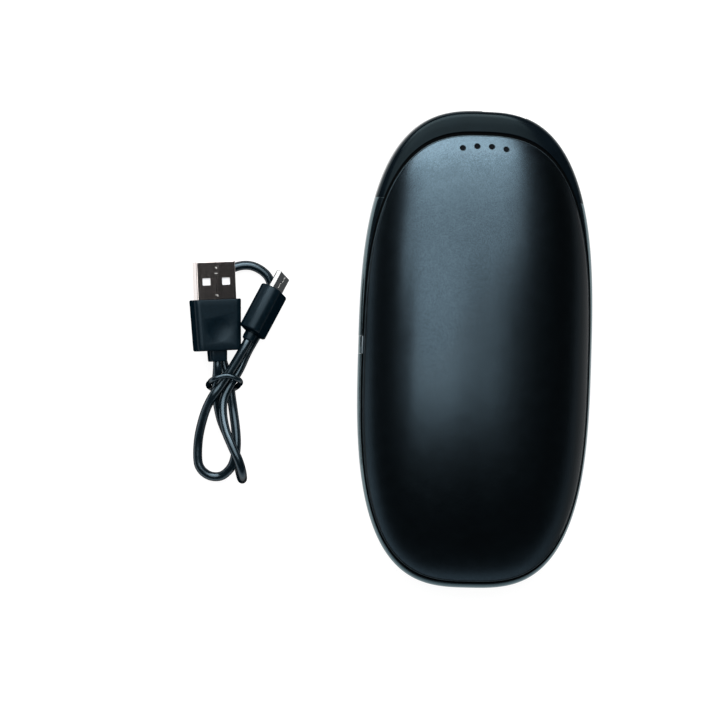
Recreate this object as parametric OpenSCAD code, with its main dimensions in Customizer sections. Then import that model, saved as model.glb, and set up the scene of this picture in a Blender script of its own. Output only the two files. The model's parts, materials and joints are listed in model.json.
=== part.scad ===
// Rechargeable pocket hand warmer with its short tied charging cable beside it.
// Millimetres. +Z is up and +Y points to the end with the sockets.
// The origin is the middle of the flat under the warmer.

/* [Warmer body] */
// Width across the sides
body_w = 70.2; // [69.6:0.1:72]
// Length from the rear to the socket end
body_l = 141.5; // [141:0.5:146]
// Height over the two domes
body_h = 28; // [27.6:0.1:30]
// Squareness of the outline towards the sockets, where 2 is an ellipse
front_power = 2.78; // [2.76:0.02:3]
// Squareness of the outline towards the other end
rear_power = 3; // [2.85:0.05:3.1]
// Wall of the two shells
shell_wall = 1.2; // [1:0.05:1.3]
// Height that the flat takes off the lower dome
belly_cut = 0.2; // [0.1:0.05:0.3]

/* [Band and groove] */
// Band and groove seen from above at the sides
band_side = 1.25; // [1.1:0.05:1.4]
// Band and groove seen from above at the socket end
band_front = 7.3; // [7:0.1:7.6]
// Band and groove seen from above at the rear
band_rear = 1.9; // [1.7:0.1:2.1]
// Depth of the groove under the edge of the band
groove_depth = 0.75; // [0.6:0.05:0.8]
// Thickness of the band under the shells
frame_wall = 2.4; // [2.2:0.1:2.6]
// Length of the end cap
cap_l = 26.5; // [26:0.25:26.75]

/* [Cells] */
// Room between the outer cells and the side of the warmer
side_room = 7.05; // [7:0.05:7.1]
// Foam between a cell and the heater film over it
foam_t = 3.45; // [3.4:0.05:3.5]
// Distance from the rear end to the rear screws
rear_room = 30; // [29.5:0.5:30.5]

/* [Sockets] */
// Width of the wide socket's metal shell
usb_a_w = 13.2; // [13:0.1:13.4]
// Height of the wide socket's metal shell
usb_a_h = 5.7; // [5.6:0.1:5.7]
// Depth of the wide socket
usb_a_depth = 14; // [13:0.5:14]
// Width of the small socket's metal shell
micro_w = 7.5; // [7.3:0.1:7.7]
// Height of the small socket's metal shell
micro_h = 2.5; // [2.4:0.1:2.6]

/* [Button and lights] */
// Length of the side button's face
button_l = 5.2; // [4.8:0.1:5.6]
// Height of the side button's face, which fills the band
button_h = 4; // [3.9:0.05:4.05]
// Distance that the button presses in
button_travel = 0.3; // [0.2:0.05:0.3]
// Diameter of the holes for the status lights
light_hole_d = 1.5; // [1.3:0.1:1.6]
// Distance between neighbouring status lights
light_pitch = 4.39; // [4.2:0.05:4.5]

/* [Charging cable] */
// Diameter of the cord
cord_d = 2.7; // [2.5:0.05:2.75]
// Width of the wide plug's grip at its front
grip_w = 14.6; // [14:0.1:15]
// Length of the wide plug's grip
grip_l = 15.2; // [15:0.1:15.4]
// Thickness of the wide plug's grip
grip_h = 7.5; // [7:0.1:7.5]

/* [Hidden] */

// Colours
metal_black = [0.12, 0.14, 0.15];
gloss_black = [0.05, 0.06, 0.07];
satin_black = [0.07, 0.07, 0.08];
button_grey = [0.72, 0.74, 0.76];
steel = [0.62, 0.62, 0.60];
board_green = [0.05, 0.28, 0.16];
cell_green = [0.20, 0.48, 0.42];
nickel = [0.75, 0.74, 0.70];
film_amber = [0.80, 0.46, 0.12];
foam_grey = [0.40, 0.41, 0.43];
wire_black = [0.10, 0.10, 0.11];
wire_red = [0.70, 0.08, 0.07];
plastic_white = [0.92, 0.92, 0.90];
gold = [0.83, 0.66, 0.28];

// The body's dome and its steps
rays = 64;
half_w = body_w / 2;
half_l = body_l / 2;
crown = (body_h + belly_cut) / 2;
mid_z = crown - belly_cut;
dome_fall = 3;
dome_round = 1.3;
edge_chamfer = 0.25;
groove_side = 0.45;
groove_front = 1;
groove_rear = 0.5;
lip_drop = 0.4;
bulge_power = 2.2;
front_bulge = 4.8;
rim_share = 0.9636;
film_share = 0.62;
pad_share = 0.5;
skin_shares = [0.15, 0.28, 0.42, 0.56, 0.7, 0.8, 0.88, 0.94, 0.98];
inner_shares = [0.9, 0.8, film_share, pad_share, 0.28];
band_shares = [-1, -0.85, -0.6, -0.3, 0, 0.3, 0.6, 0.85, 1];
edge_a = half_w - band_side;
edge_b = half_l - (band_front + band_rear) / 2;
edge_mid = (band_rear - band_front) / 2;
lip_a = edge_a + groove_side;
lip_b = edge_b + (groove_front + groove_rear) / 2;
lip_mid = edge_mid + (groove_front - groove_rear) / 2;

// Clearances
slide_gap = 0.2;
fit_gap = 0.05;
wall_gap = 0.3;
seam_gap = 0.1;
cell_gap = 0.2;

// Room behind the end cap's outer wall
pocket_half_w = 19;
pocket_half_h = 3.1;
cap_wall = 3.4;
mouth_y = half_l - cap_wall;
opening_gap = 0.1;

// Boards, lugs and screws
board_t = 1;
board_top = -0.9;
lug_h = 2;
lug_r = 3;
seam_y = half_l - cap_l;
front_lug_back = 6;
front_lug_y = seam_y - front_lug_back;
front_lug_inset = 6.05;
rear_lug_y = rear_room - half_l;
rear_lug_inset = 8.4;
screw_r = 0.95;
screw_head_r = 1.8;
screw_head_h = 1.2;
screw_l = 6;
screw_hole_r = 1.1;

// Cells: as thick as the width for three and the height with its foam allow
cell_count = 3;
film_t = 0.3;
front_cell_inset = 7;
rear_cell_inset = 8;
cell_pitch = (body_w - 2 * side_room) / cell_count;
cell_d = min(cell_pitch - cell_gap, 2 * (crown - shell_wall - film_t - foam_t));
cell_front = front_lug_y - front_cell_inset;
cell_rear = rear_lug_y + rear_cell_inset;
cell_l = cell_front - cell_rear;

// Battery tray
tray_top = 3;
tray_bottom = -3.6;
tray_end_t = 2;
ear_h = 4.5;
strip_t = 0.2;
strip_half_h = 4;
board_back = cell_front + strip_t + tray_end_t + wall_gap;

function power_at(s) = s < 0 ? rear_power : front_power;
function spread(c, s) = let (n = power_at(s)) pow(pow(abs(c), n) + pow(abs(s), n), 1 / n);
function oval(a, b, turn) = let (k = spread(cos(turn), sin(turn))) [a * cos(turn) / k, b * sin(turn) / k];
function dome(x, y, inset = 0) =
    let (share = spread(x / (half_w - inset), y / (half_l - inset)))
    (crown - inset) * pow(max(0, 1 - pow(share, dome_fall)), 1 / dome_round);
function turns() = [for (i = [0:rays - 1]) 360 * i / rays];
function rim(turn, inset = 0) = [0, edge_mid] + oval(edge_a - inset, edge_b - inset, turn);
function rim_part(turn, share) = [0, edge_mid] + share * oval(edge_a, edge_b, turn);
function lip(turn) = [0, lip_mid] + oval(lip_a, lip_b, turn);
function rim_z(turn) = let (p = rim(turn)) dome(p.x, p.y);
function lip_z(turn) = rim_z(turn) - lip_drop;
function ledge_z(turn) = lip_z(turn) - groove_depth;
function flat3(p, z) = [p.x, p.y, z];

// One ring of a dome at a share of the rim, no higher than a limit
function dome_ring(share, limit, inset = 0, sink = 0) =
    [for (t = turns()) let (p = rim_part(t, share)) flat3(p, min(dome(p.x, p.y, inset), limit) - sink)];

// A closed skin from a first point over rings of points to a last point.
// Its diagonals run alike on outer and inner skins, so that nested skins meet face to face.
module ring_skin(first, rings, last) {
    n = len(rings[0]);
    points = concat([first], [for (r = rings) each r], [last]);
    top = len(points) - 1;
    first_fan = [for (i = [0:n - 1]) [0, 1 + (i + 1) % n, 1 + i]];
    walls = [for (r = [0:len(rings) - 2]) for (i = [0:n - 1])
        let (
            a = 1 + r * n + i,
            b = 1 + r * n + (i + 1) % n,
            inward = norm(rings[r][0]) > norm(rings[r + 1][0])
        )
        each inward ? [[a, b, a + n], [b, b + n, a + n]] : [[a, b, b + n], [a, b + n, a + n]]];
    last_fan = [for (i = [0:n - 1]) [top, top - n + i, top - n + (i + 1) % n]];
    polyhedron(points = points, faces = concat(first_fan, walls, last_fan));
}

// A closed band from cross sections that follow each other round a loop
module band_skin(sections) {
    n = len(sections);
    k = len(sections[0]);
    walls = [for (i = [0:n - 1]) for (j = [0:k - 1])
        let (a = i * k, b = ((i + 1) % n) * k, up = (j + 1) % k)
        each [[a + j, a + up, b + up], [a + j, b + up, b + j]]];
    polyhedron(points = [for (s = sections) each s], faces = walls);
}

function unit(v) = v / norm(v);
function carried(side, way) = unit(side - way * (side * way));
function carried_sides(ways, side, i = 0, out = []) =
    i == len(ways) ? out
    : let (next = carried(side, ways[i])) carried_sides(ways, next, i + 1, concat(out, [next]));

// A tube of one radius along a line of points, with flat ends or closed on itself
module tube(line, r, side = [1, 0, 0], closed = false, sides = 8) {
    n = len(line);
    ways = [for (i = [0:n - 1])
        unit(line[closed ? (i + 1) % n : min(i + 1, n - 1)] - line[closed ? (i + n - 1) % n : max(i - 1, 0)])];
    spokes = carried_sides(ways, side);
    rings = [for (i = [0:n - 1]) let (u = spokes[i], v = cross(ways[i], spokes[i]))
        [for (k = [0:sides - 1]) line[i] + r * (u * cos(360 * k / sides) - v * sin(360 * k / sides))]];
    if (closed) {
        band_skin([for (s = rings) [for (k = [sides - 1:-1:0]) s[k]]]);
    } else {
        ring_skin(line[0], rings, line[n - 1]);
    }
}

// Points of a smooth line through chosen points, about one step apart
function smooth_point(a, b, c, d, t) =
    (2 * b + (c - a) * t + (2 * a - 5 * b + 4 * c - d) * t * t + (3 * b - a - 3 * c + d) * t * t * t) / 2;
function smooth_line(p, step) =
    let (last = len(p) - 1)
    concat([for (i = [0:last - 1])
        let (
            a = i > 0 ? p[i - 1] : 2 * p[0] - p[1],
            d = i < last - 1 ? p[i + 2] : 2 * p[last] - p[last - 1],
            parts = max(1, round(norm(p[i + 1] - p[i]) / step))
        )
        for (k = [0:parts - 1]) smooth_point(a, p[i], p[i + 1], d, k / parts)], [p[last]]);
function line_length(p) = let (parts = [for (i = [1:len(p) - 1]) norm(p[i] - p[i - 1])])
    parts * [for (part = parts) 1];
function least_gap(p, d, apart) = min([for (i = [0:len(p) - 1 - apart]) for (j = [i + apart:len(p) - 1])
    norm(p[i] - p[j])]) - d;

module box(low, high) {
    translate(low)
        cube(high - low);
}

// Upper or lower half of the metal-look housing, about the middle plane
module half_shell(limit) {
    ring_skin(
        [0, edge_mid, min(dome(0, edge_mid), limit)],
        concat(
            [for (s = skin_shares) dome_ring(s, limit)],
            [[for (t = turns()) flat3(rim(t, edge_chamfer), rim_z(t))],
             [for (t = turns()) flat3(rim(t), rim_z(t) - edge_chamfer)],
             [for (t = turns()) flat3(rim(t), ledge_z(t))],
             [for (t = turns()) flat3(rim_part(t, rim_share), ledge_z(t))],
             dome_ring(rim_share, crown, shell_wall)],
            [for (s = inner_shares) dome_ring(s, crown, shell_wall)]
        ),
        [0, edge_mid, crown - shell_wall]
    );
}

// Shallow pocket for the side button, across the band and the skirts of the shells
button_y = 0.5;
slot_half_l = button_l / 2 + slide_gap;
slot_half_h = button_h / 2 + slide_gap;
button_face_in = 1.2;
pocket_x = -half_w + button_face_in + button_travel + fit_gap;
module button_pocket() {
    box([-body_w, button_y - slot_half_l, -slot_half_h], [pocket_x, button_y + slot_half_l, slot_half_h]);
}

// Status lights on an arc under the top shell near the socket end
light_arc_r = 29.8;
light_inset = 3.3;
light_top_y = edge_mid + edge_b - light_inset;
light_r = light_hole_d / 2 - fit_gap;
function light_place(i) = let (angle = (i - 1.5) * light_pitch / light_arc_r * 180 / PI)
    [light_arc_r * sin(angle), light_top_y - light_arc_r * (1 - cos(angle))];

module top_shell() {
    color(metal_black)
    translate([0, 0, mid_z])
    difference() {
        half_shell(crown);
        button_pocket();
        for (i = [0:3])
            translate(flat3(light_place(i), 0))
                cylinder(h = crown, r = light_hole_d / 2, $fn = 24);
    }
}

module bottom_shell() {
    color(metal_black)
    translate([0, 0, mid_z])
    difference() {
        mirror([0, 0, 1])
            half_shell(mid_z);
        button_pocket();
    }
}

// Gloss band between the shells, with a ledge for each shell's rim.
// Its outer face is round at the sides and stands steeper round the socket end.
function bulge(t) = bulge_power + front_bulge * pow(max(0, sin(t)), 2);
function band_section(t) = let (o = oval(half_w, half_l, t), e = lip(t), z = lip_z(t),
    l = ledge_z(t), i = rim(t, frame_wall))
    concat([for (s = band_shares) let (p = o + (e - o) * pow(abs(s), bulge(t))) flat3(p, z * s)],
        [flat3(e, l), flat3(i, l), flat3(i, -l), flat3(e, -l)]);

module band() {
    band_skin([for (t = turns()) band_section(t)]);
}

// Button's stem and its slot through the frame's wall
stem_half_l = 2.3;
stem_half_h = 0.7;
module stem_slot() {
    box([-half_w, button_y - stem_half_l - slide_gap, -stem_half_h - slide_gap],
        [-half_w + 2 * frame_wall, button_y + stem_half_l + slide_gap, stem_half_h + slide_gap]);
}

// Screw lug that stands in from the frame's wall
module lug(x, y, low, high, reach) {
    difference() {
        union() {
            translate([x, y, low])
                cylinder(h = high - low, r = lug_r, $fn = 32);
            box([min(x, x + reach), y - lug_r, low], [max(x, x + reach), y + lug_r, high]);
        }
        translate([x, y, low - slide_gap])
            cylinder(h = high - low + 2 * slide_gap, r = screw_hole_r, $fn = 24);
    }
}

// Half width of the frame's inner wall at a distance along the body
function rim_x(y) = let (n = power_at(y - edge_mid))
    (edge_a - frame_wall) * pow(1 - pow(abs(y - edge_mid) / (edge_b - frame_wall), n), 1 / n);
front_lug_x = rim_x(front_lug_y) - front_lug_inset;
rear_lug_x = rim_x(rear_lug_y) - rear_lug_inset;
front_reach = front_lug_inset + wall_gap;
rear_reach = rear_lug_inset + wall_gap;

module mid_frame() {
    color(gloss_black)
    translate([0, 0, mid_z]) {
        difference() {
            intersection() {
                band();
                box([-body_w, -body_l, -body_h], [body_w, seam_y - seam_gap / 2, body_h]);
            }
            button_pocket();
            stem_slot();
        }
        for (side = [-1, 1]) {
            lug(side * front_lug_x, front_lug_y, board_top, board_top + lug_h, side * front_reach);
            lug(side * rear_lug_x, rear_lug_y, board_top, board_top + lug_h, side * rear_reach);
        }
    }
}

// Sockets, placed from the middle plane
usb_a_x = 6.5;
micro_x = -9.5;
micro_depth = 5;
metal_t = 0.3;
usb_a_low = -usb_a_h / 2;
micro_low = board_top;

function pocket_outline(inset) =
    [for (t = turns()) oval(half_w - cap_wall - inset, half_l - cap_wall - inset, t)];
module end_cap() {
    color(gloss_black)
    translate([0, 0, mid_z])
    difference() {
        intersection() {
            band();
            box([-body_w, seam_y + seam_gap / 2, -body_h], [body_w, body_l, body_h]);
        }
        intersection() {
            translate([0, 0, -pocket_half_h])
                linear_extrude(2 * pocket_half_h)
                    polygon(pocket_outline(0));
            box([-pocket_half_w, 0, -pocket_half_h], [pocket_half_w, body_l, pocket_half_h]);
        }
        box([usb_a_x - usb_a_w / 2 - opening_gap, seam_y, usb_a_low - opening_gap],
            [usb_a_x + usb_a_w / 2 + opening_gap, body_l, -usb_a_low + opening_gap]);
        box([micro_x - micro_w / 2 - opening_gap, seam_y, micro_low - opening_gap],
            [micro_x + micro_w / 2 + opening_gap, body_l, micro_low + micro_h + opening_gap]);
    }
}

// Side button: a face that follows the band, a stem and a flange behind the frame's wall
flange_t = 0.8;
flange_over = 0.9;
flange_half_l = stem_half_l + flange_over;
flange_half_h = stem_half_h + flange_over;
flange_x = -half_w + band_side + frame_wall + fit_gap;
face_in_x = -half_w + button_face_in;
function button_face(z) = [-half_w + fit_gap + (half_w - lip_a) * pow(abs(z) / lip_z(180), bulge_power), z];
plunger_r = 0.8;
plunger_z = -0.4;
switch_gap = 1.1;
switch_x = flange_x + flange_t + switch_gap;
switch_back = -cell_pitch - cell_d / 2 - opening_gap;
switch_half_l = 2.2;
switch_low = -2.4;
switch_high = 1.6;
switch_board_low = -3.2;
plunger_in = 0.3;
bore_depth = plunger_in + button_travel + opening_gap;

module power_button() {
    color(button_grey)
    translate([0, button_y, mid_z]) {
        along_y(-button_l / 2, button_l / 2)
            polygon(concat([for (s = band_shares) button_face(s * button_h / 2)],
                [[face_in_x, button_h / 2], [face_in_x, -button_h / 2]]));
        box([face_in_x, -stem_half_l, -stem_half_h], [flange_x, stem_half_l, stem_half_h]);
        box([flange_x, -flange_half_l, -flange_half_h], [flange_x + flange_t, flange_half_l, flange_half_h]);
    }
}

module switch_plunger() {
    color(satin_black)
    translate([flange_x + flange_t, button_y, mid_z + plunger_z])
        rotate([0, 90, 0])
            cylinder(h = switch_x - flange_x - flange_t + plunger_in, r = plunger_r, $fn = 24);
}

module switch_body() {
    color(steel)
    translate([0, button_y, mid_z])
    difference() {
        box([switch_x, -switch_half_l, switch_low], [switch_back, switch_half_l, switch_high]);
        translate([switch_x - slide_gap, 0, plunger_z])
            rotate([0, 90, 0])
                cylinder(h = slide_gap + bore_depth, r = plunger_r + fit_gap, $fn = 24);
    }
}

switch_board_l = 14;
switch_board_over = 1.5;
module switch_board() {
    color(board_green)
    translate([0, button_y, mid_z])
        box([switch_x - switch_board_over, -switch_board_l / 2, switch_board_low],
            [switch_back, switch_board_l / 2, switch_low]);
}

// Main board: a wide part between the lugs and a tongue into the end cap
board_tongue_half_w = 15;
board_tongue_inset = 2;
board_tongue_y = mouth_y - board_tongue_inset;
socket_back = mouth_y - usb_a_depth;
module circuit_board() {
    color(board_green)
    translate([0, 0, mid_z])
    difference() {
        union() {
            intersection() {
                translate([0, 0, board_top - board_t])
                    linear_extrude(board_t)
                        polygon([for (t = turns()) rim(t, frame_wall + wall_gap)]);
                box([-body_w, board_back, -body_h], [body_w, body_l, body_h]);
            }
            intersection() {
                translate([0, 0, board_top - board_t])
                    linear_extrude(board_t)
                        polygon(pocket_outline(wall_gap));
                box([-board_tongue_half_w, board_back, -body_h], [board_tongue_half_w, board_tongue_y, body_h]);
            }
        }
        box([usb_a_x - usb_a_w / 2 - fit_gap, socket_back - fit_gap, -body_h],
            [usb_a_x + usb_a_w / 2 + fit_gap, body_l, body_h]);
        for (side = [-1, 1])
            translate([side * front_lug_x, front_lug_y, -body_h])
                cylinder(h = 2 * body_h, r = screw_hole_r, $fn = 24);
    }
}

// Chips on the main board: each has a place from the board's back edge, a size and a height
chips = [[-14, 10.6, 5, 5, 0.9], [-4, 6.5, 6, 4, 1.1], [-13, 16.5, 4, 6, 1], [-6, 13, 3, 3, 0.8], [16, 14.5, 3, 4, 0.9]];
module board_chips() {
    color(satin_black)
    translate([0, board_back, mid_z + board_top])
        for (c = chips)
            translate([c[0] - c[2] / 2, c[1] - c[3] / 2, 0])
                cube([c[2], c[3], c[4]]);
}

coil_w = 7;
coil_h = 3;
coil_r = 2.6;
coil_x = 5;
coil_inset = 12;
coil_y = board_back + coil_inset;
module power_inductor() {
    color(foam_grey)
    translate([coil_x, coil_y, mid_z + board_top]) {
        box([-coil_w / 2, -coil_w / 2, 0], [coil_w / 2, coil_w / 2, coil_h - wall_gap]);
        translate([0, 0, coil_h - wall_gap])
            cylinder(h = wall_gap, r = coil_r, $fn = 32);
    }
}

wing_w = 1.5;
wing_l = 8;
spring_w = 2;
spring_l = 5;
module usb_a_socket_shell() {
    color(steel)
    translate([usb_a_x, 0, mid_z]) {
        difference() {
            box([-usb_a_w / 2, socket_back, usb_a_low], [usb_a_w / 2, mouth_y, -usb_a_low]);
            box([-usb_a_w / 2 + metal_t, socket_back - metal_t, usb_a_low + metal_t],
                [usb_a_w / 2 - metal_t, body_l, -usb_a_low - metal_t]);
            for (side = [-1, 1])
                box([side * usb_a_w / 4 - spring_w / 2, mouth_y - usb_a_depth / 2 - spring_l / 2, -usb_a_h],
                    [side * usb_a_w / 4 + spring_w / 2, mouth_y - usb_a_depth / 2 + spring_l / 2, usb_a_h]);
        }
        for (side = [-1, 1])
            box([min(side * usb_a_w / 2, side * (usb_a_w / 2 + wing_w)), socket_back + wing_w, board_top],
                [max(side * usb_a_w / 2, side * (usb_a_w / 2 + wing_w)), socket_back + wing_w + wing_l,
                 board_top + metal_t]);
    }
}

tongue_w = 11.1;
tongue_h = 1.84;
tongue_back = 3;
tongue_short = 0.7;
module usb_a_socket_tongue() {
    color(satin_black)
    translate([usb_a_x, 0, mid_z]) {
        box([-usb_a_w / 2 + metal_t, socket_back, usb_a_low + metal_t],
            [usb_a_w / 2 - metal_t, socket_back + tongue_back, -usb_a_low - metal_t]);
        box([-tongue_w / 2, socket_back, 0], [tongue_w / 2, mouth_y - tongue_short, tongue_h]);
    }
}

contact_w = 1;
contact_t = 0.15;
contact_pitch = 2.25;
module usb_a_contacts(y_low, y_high, z_low) {
    for (i = [-1.5:1.5])
        box([i * contact_pitch - contact_w / 2, y_low, z_low],
            [i * contact_pitch + contact_w / 2, y_high, z_low + contact_t]);
}
module usb_a_socket_contacts() {
    color(gold)
    translate([usb_a_x, 0, mid_z])
        usb_a_contacts(socket_back + tongue_back, mouth_y - 2 * tongue_short, -contact_t);
}

// Small socket: a shell with two bevelled lower corners
module micro_profile(w, h) {
    bevel = h / 3;
    polygon([[-w / 2, h], [-w / 2, bevel], [-w / 2 + bevel, 0], [w / 2 - bevel, 0], [w / 2, bevel], [w / 2, h]]);
}
module along_y(low, high) {
    translate([0, high, 0])
        rotate([90, 0, 0])
            linear_extrude(high - low)
                children();
}
micro_back = mouth_y - micro_depth;
module micro_usb_socket_shell() {
    color(steel)
    translate([micro_x, 0, mid_z + micro_low])
    difference() {
        along_y(micro_back, mouth_y)
            micro_profile(micro_w, micro_h);
        translate([0, 0, metal_t])
            along_y(micro_back - metal_t, mouth_y + metal_t)
                micro_profile(micro_w - 2 * metal_t, micro_h - 2 * metal_t);
    }
}
micro_tongue_w = 3.7;
micro_tongue_h = 0.6;
micro_block = 1.2;
module micro_usb_socket_tongue() {
    color(satin_black)
    translate([micro_x, 0, mid_z + micro_low]) {
        translate([0, 0, metal_t])
            along_y(micro_back, micro_back + micro_block)
                micro_profile(micro_w - 2 * metal_t, micro_h - 2 * metal_t);
        box([-micro_tongue_w / 2, micro_back, micro_h - metal_t - 2 * micro_tongue_h],
            [micro_tongue_w / 2, mouth_y - micro_tongue_h, micro_h - metal_t - micro_tongue_h]);
    }
}

// Status light board over the wide socket
light_board_half_w = 8.3;
light_board_t = 0.6;
light_board_low = -usb_a_low;
light_board_inset = 0.3;
light_board_l = 6;
light_board_front = light_top_y - light_board_inset;
light_board_back = light_board_front - light_board_l;
chip_w = 1.6;
chip_l = 0.8;
chip_h = 0.5;
chip_inset = 1.6;
chip_y = light_board_front - chip_inset;
guide_low = light_board_low + light_board_t + chip_h;
guide_t = 0.8;
module light_board() {
    color(board_green)
    translate([0, 0, mid_z])
        box([-light_board_half_w, light_board_back, light_board_low],
            [light_board_half_w, light_board_front, light_board_low + light_board_t]);
}
header_w = 6;
header_l = 2.5;
header_x = usb_a_x - usb_a_w / 2 - wing_w - slide_gap;
module light_header() {
    color(satin_black)
    translate([0, 0, mid_z])
        box([header_x - header_w, light_board_back + wall_gap, board_top],
            [header_x, light_board_back + wall_gap + header_l, light_board_low]);
}
module status_lights() {
    color(plastic_white)
    translate([0, 0, mid_z + light_board_low + light_board_t])
        for (i = [0:3])
            translate([light_place(i).x - chip_w / 2, chip_y - chip_l / 2, 0])
                cube([chip_w, chip_l, chip_h]);
}

// Smoked light guide: a curved bar with one pin into each hole of the top shell
guide_in = 2.2;
guide_out = 0.6;
pin_short = 0.3;
guide_angle = 15.5;
module light_guide() {
    low_r = light_arc_r - guide_in;
    high_r = light_arc_r + guide_out;
    centre = [0, light_top_y - light_arc_r];
    steps = [for (i = [-4:4]) guide_angle * i / 4];
    color(gloss_black)
    translate([0, 0, mid_z]) {
        translate([0, 0, guide_low])
            linear_extrude(guide_t)
                polygon(concat([for (a = steps) centre + high_r * [sin(a), cos(a)]],
                    [for (i = [len(steps) - 1:-1:0]) centre + low_r * [sin(steps[i]), cos(steps[i])]]));
        for (i = [0:3]) {
            p = light_place(i);
            translate([p.x, p.y, guide_low])
                cylinder(h = dome(p.x, p.y + light_r) - pin_short - guide_low, r = light_r, $fn = 24);
        }
    }
}

// Tray round the cells, with ears over the frame's lugs
ear_low = board_top + lug_h;
module tray_ear(x, y, wall_y) {
    box([x - lug_r, min(y, wall_y), ear_low], [x + lug_r, max(y, wall_y), ear_low + ear_h]);
    translate([x, y, ear_low])
        cylinder(h = ear_h, r = lug_r, $fn = 32);
}
tray_front = cell_front + strip_t + tray_end_t;
tray_rear = cell_rear - strip_t - tray_end_t;
module battery_tray() {
    color(satin_black)
    translate([0, 0, mid_z])
    difference() {
        union() {
            intersection() {
                translate([0, 0, tray_bottom])
                    linear_extrude(tray_top - tray_bottom)
                        polygon([for (t = turns()) rim(t, frame_wall + wall_gap)]);
                box([-body_w, tray_rear, -body_h], [body_w, tray_front, body_h]);
            }
            for (side = [-1, 1]) {
                tray_ear(side * front_lug_x, front_lug_y, cell_front + strip_t);
                tray_ear(side * rear_lug_x, rear_lug_y, cell_rear - strip_t);
            }
        }
        for (side = [-1, 1])
            translate([side * cell_pitch, cell_rear - strip_t, 0])
                rotate([-90, 0, 0])
                    cylinder(h = cell_l + 2 * strip_t, r = cell_d / 2 + cell_gap, $fn = 64);
        box([-cell_pitch, cell_rear - strip_t, -body_h], [cell_pitch, cell_front + strip_t, body_h]);
        box([-half_w, button_y - switch_board_l / 2 - cell_gap, switch_board_low],
            [-cell_pitch, button_y + switch_board_l / 2 + cell_gap, body_h]);
        for (side = [-1, 1]) {
            translate([side * front_lug_x, front_lug_y, -body_h])
                cylinder(h = body_h + board_top - board_t + screw_l, r = screw_r, $fn = 24);
            translate([side * rear_lug_x, rear_lug_y, -body_h])
                cylinder(h = body_h + board_top + screw_l, r = screw_r, $fn = 24);
        }
    }
}

// One cell with a recess round its front pole
pole_r = 3;
recess_r = 7.6;
recess_depth = 0.6;
module cell(x) {
    translate([x, cell_rear, mid_z])
        rotate([-90, 0, 0])
            difference() {
                cylinder(h = cell_l, r = cell_d / 2, $fn = 48);
                translate([0, 0, cell_l - recess_depth])
                    difference() {
                        cylinder(h = cell_l, r = recess_r, $fn = 48);
                        cylinder(h = cell_l, r = pole_r, $fn = 32);
                    }
            }
}
module cell_left() {
    color(cell_green) cell(-cell_pitch);
}
module cell_middle() {
    color(cell_green) cell(0);
}
module cell_right() {
    color(cell_green) cell(cell_pitch);
}

strip_over = 5.5;
strip_half_w = cell_pitch + strip_over;
tab_x = 6;
rear_tab_x = cell_pitch / 2;
tab_half_w = 2;
module nickel_strips() {
    color(nickel)
    translate([0, 0, mid_z]) {
        box([-strip_half_w, cell_front, -strip_half_h], [strip_half_w, cell_front + strip_t, tray_top]);
        box([tab_x - tab_half_w, cell_front, tray_top], [tab_x + tab_half_w, tray_front, tray_top + strip_t]);
        box([-strip_half_w, cell_rear - strip_t, -strip_half_h], [strip_half_w, cell_rear, tray_top]);
        box([rear_tab_x - tab_half_w, tray_rear, tray_top], [rear_tab_x + tab_half_w, cell_rear, tray_top + strip_t]);
    }
}

// Heater film inside a shell, about the middle plane
module heater_film() {
    rings = [0.28, pad_share, film_share];
    peak = crown - shell_wall;
    ring_skin(
        [0, edge_mid, peak],
        concat([for (s = rings) dome_ring(s, crown, shell_wall)],
            [for (i = [2:-1:0]) dome_ring(rings[i], crown, shell_wall, film_t)]),
        [0, edge_mid, peak - film_t]
    );
}
module heater_film_top() {
    color(film_amber)
    translate([0, 0, mid_z])
        heater_film();
}
module heater_film_bottom() {
    color(film_amber)
    translate([0, 0, mid_z])
        mirror([0, 0, 1])
            heater_film();
}

// Foam between the cells and a heater film, flat towards the cells
module foam_pad() {
    base = cell_d / 2 + fit_gap;
    ring_skin(
        [0, edge_mid, crown - shell_wall - film_t],
        concat([for (s = [0.28, pad_share]) dome_ring(s, crown, shell_wall, film_t)],
            [[for (t = turns()) flat3(rim_part(t, pad_share), base)]]),
        [0, edge_mid, base]
    );
}
module foam_pad_top() {
    color(foam_grey)
    translate([0, 0, mid_z])
        foam_pad();
}
module foam_pad_bottom() {
    color(foam_grey)
    translate([0, 0, mid_z])
        mirror([0, 0, 1])
            foam_pad();
}

// Temperature bead in the valley between two cells, with its wire to the board
bead_r = 1.2;
bead_l = 4;
thin_wire_r = 0.4;
valley_x = -cell_pitch / 2;
bead_reach = cell_d / 2 + bead_r + fit_gap;
bead_z = max(tray_top + bead_r, sqrt(max(0, pow(bead_reach, 2) - pow(cell_pitch / 2, 2))));
module thermistor() {
    color(wire_black)
    translate([0, 0, mid_z]) {
        translate([valley_x, 0, bead_z])
            rotate([90, 0, 0])
                cylinder(h = bead_l, r = bead_r, $fn = 24);
        tube([[valley_x, -bead_r, bead_z], [valley_x, cell_front - bead_l, bead_z],
            [valley_x, tray_front, bead_z], [valley_x, tray_front + bead_r, bead_z - bead_r / 2],
            [valley_x, tray_front + 2 * bead_r, bead_z - 2 * bead_r], [valley_x, tray_front + 2 * bead_r, board_top]],
            thin_wire_r);
    }
}

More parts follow.
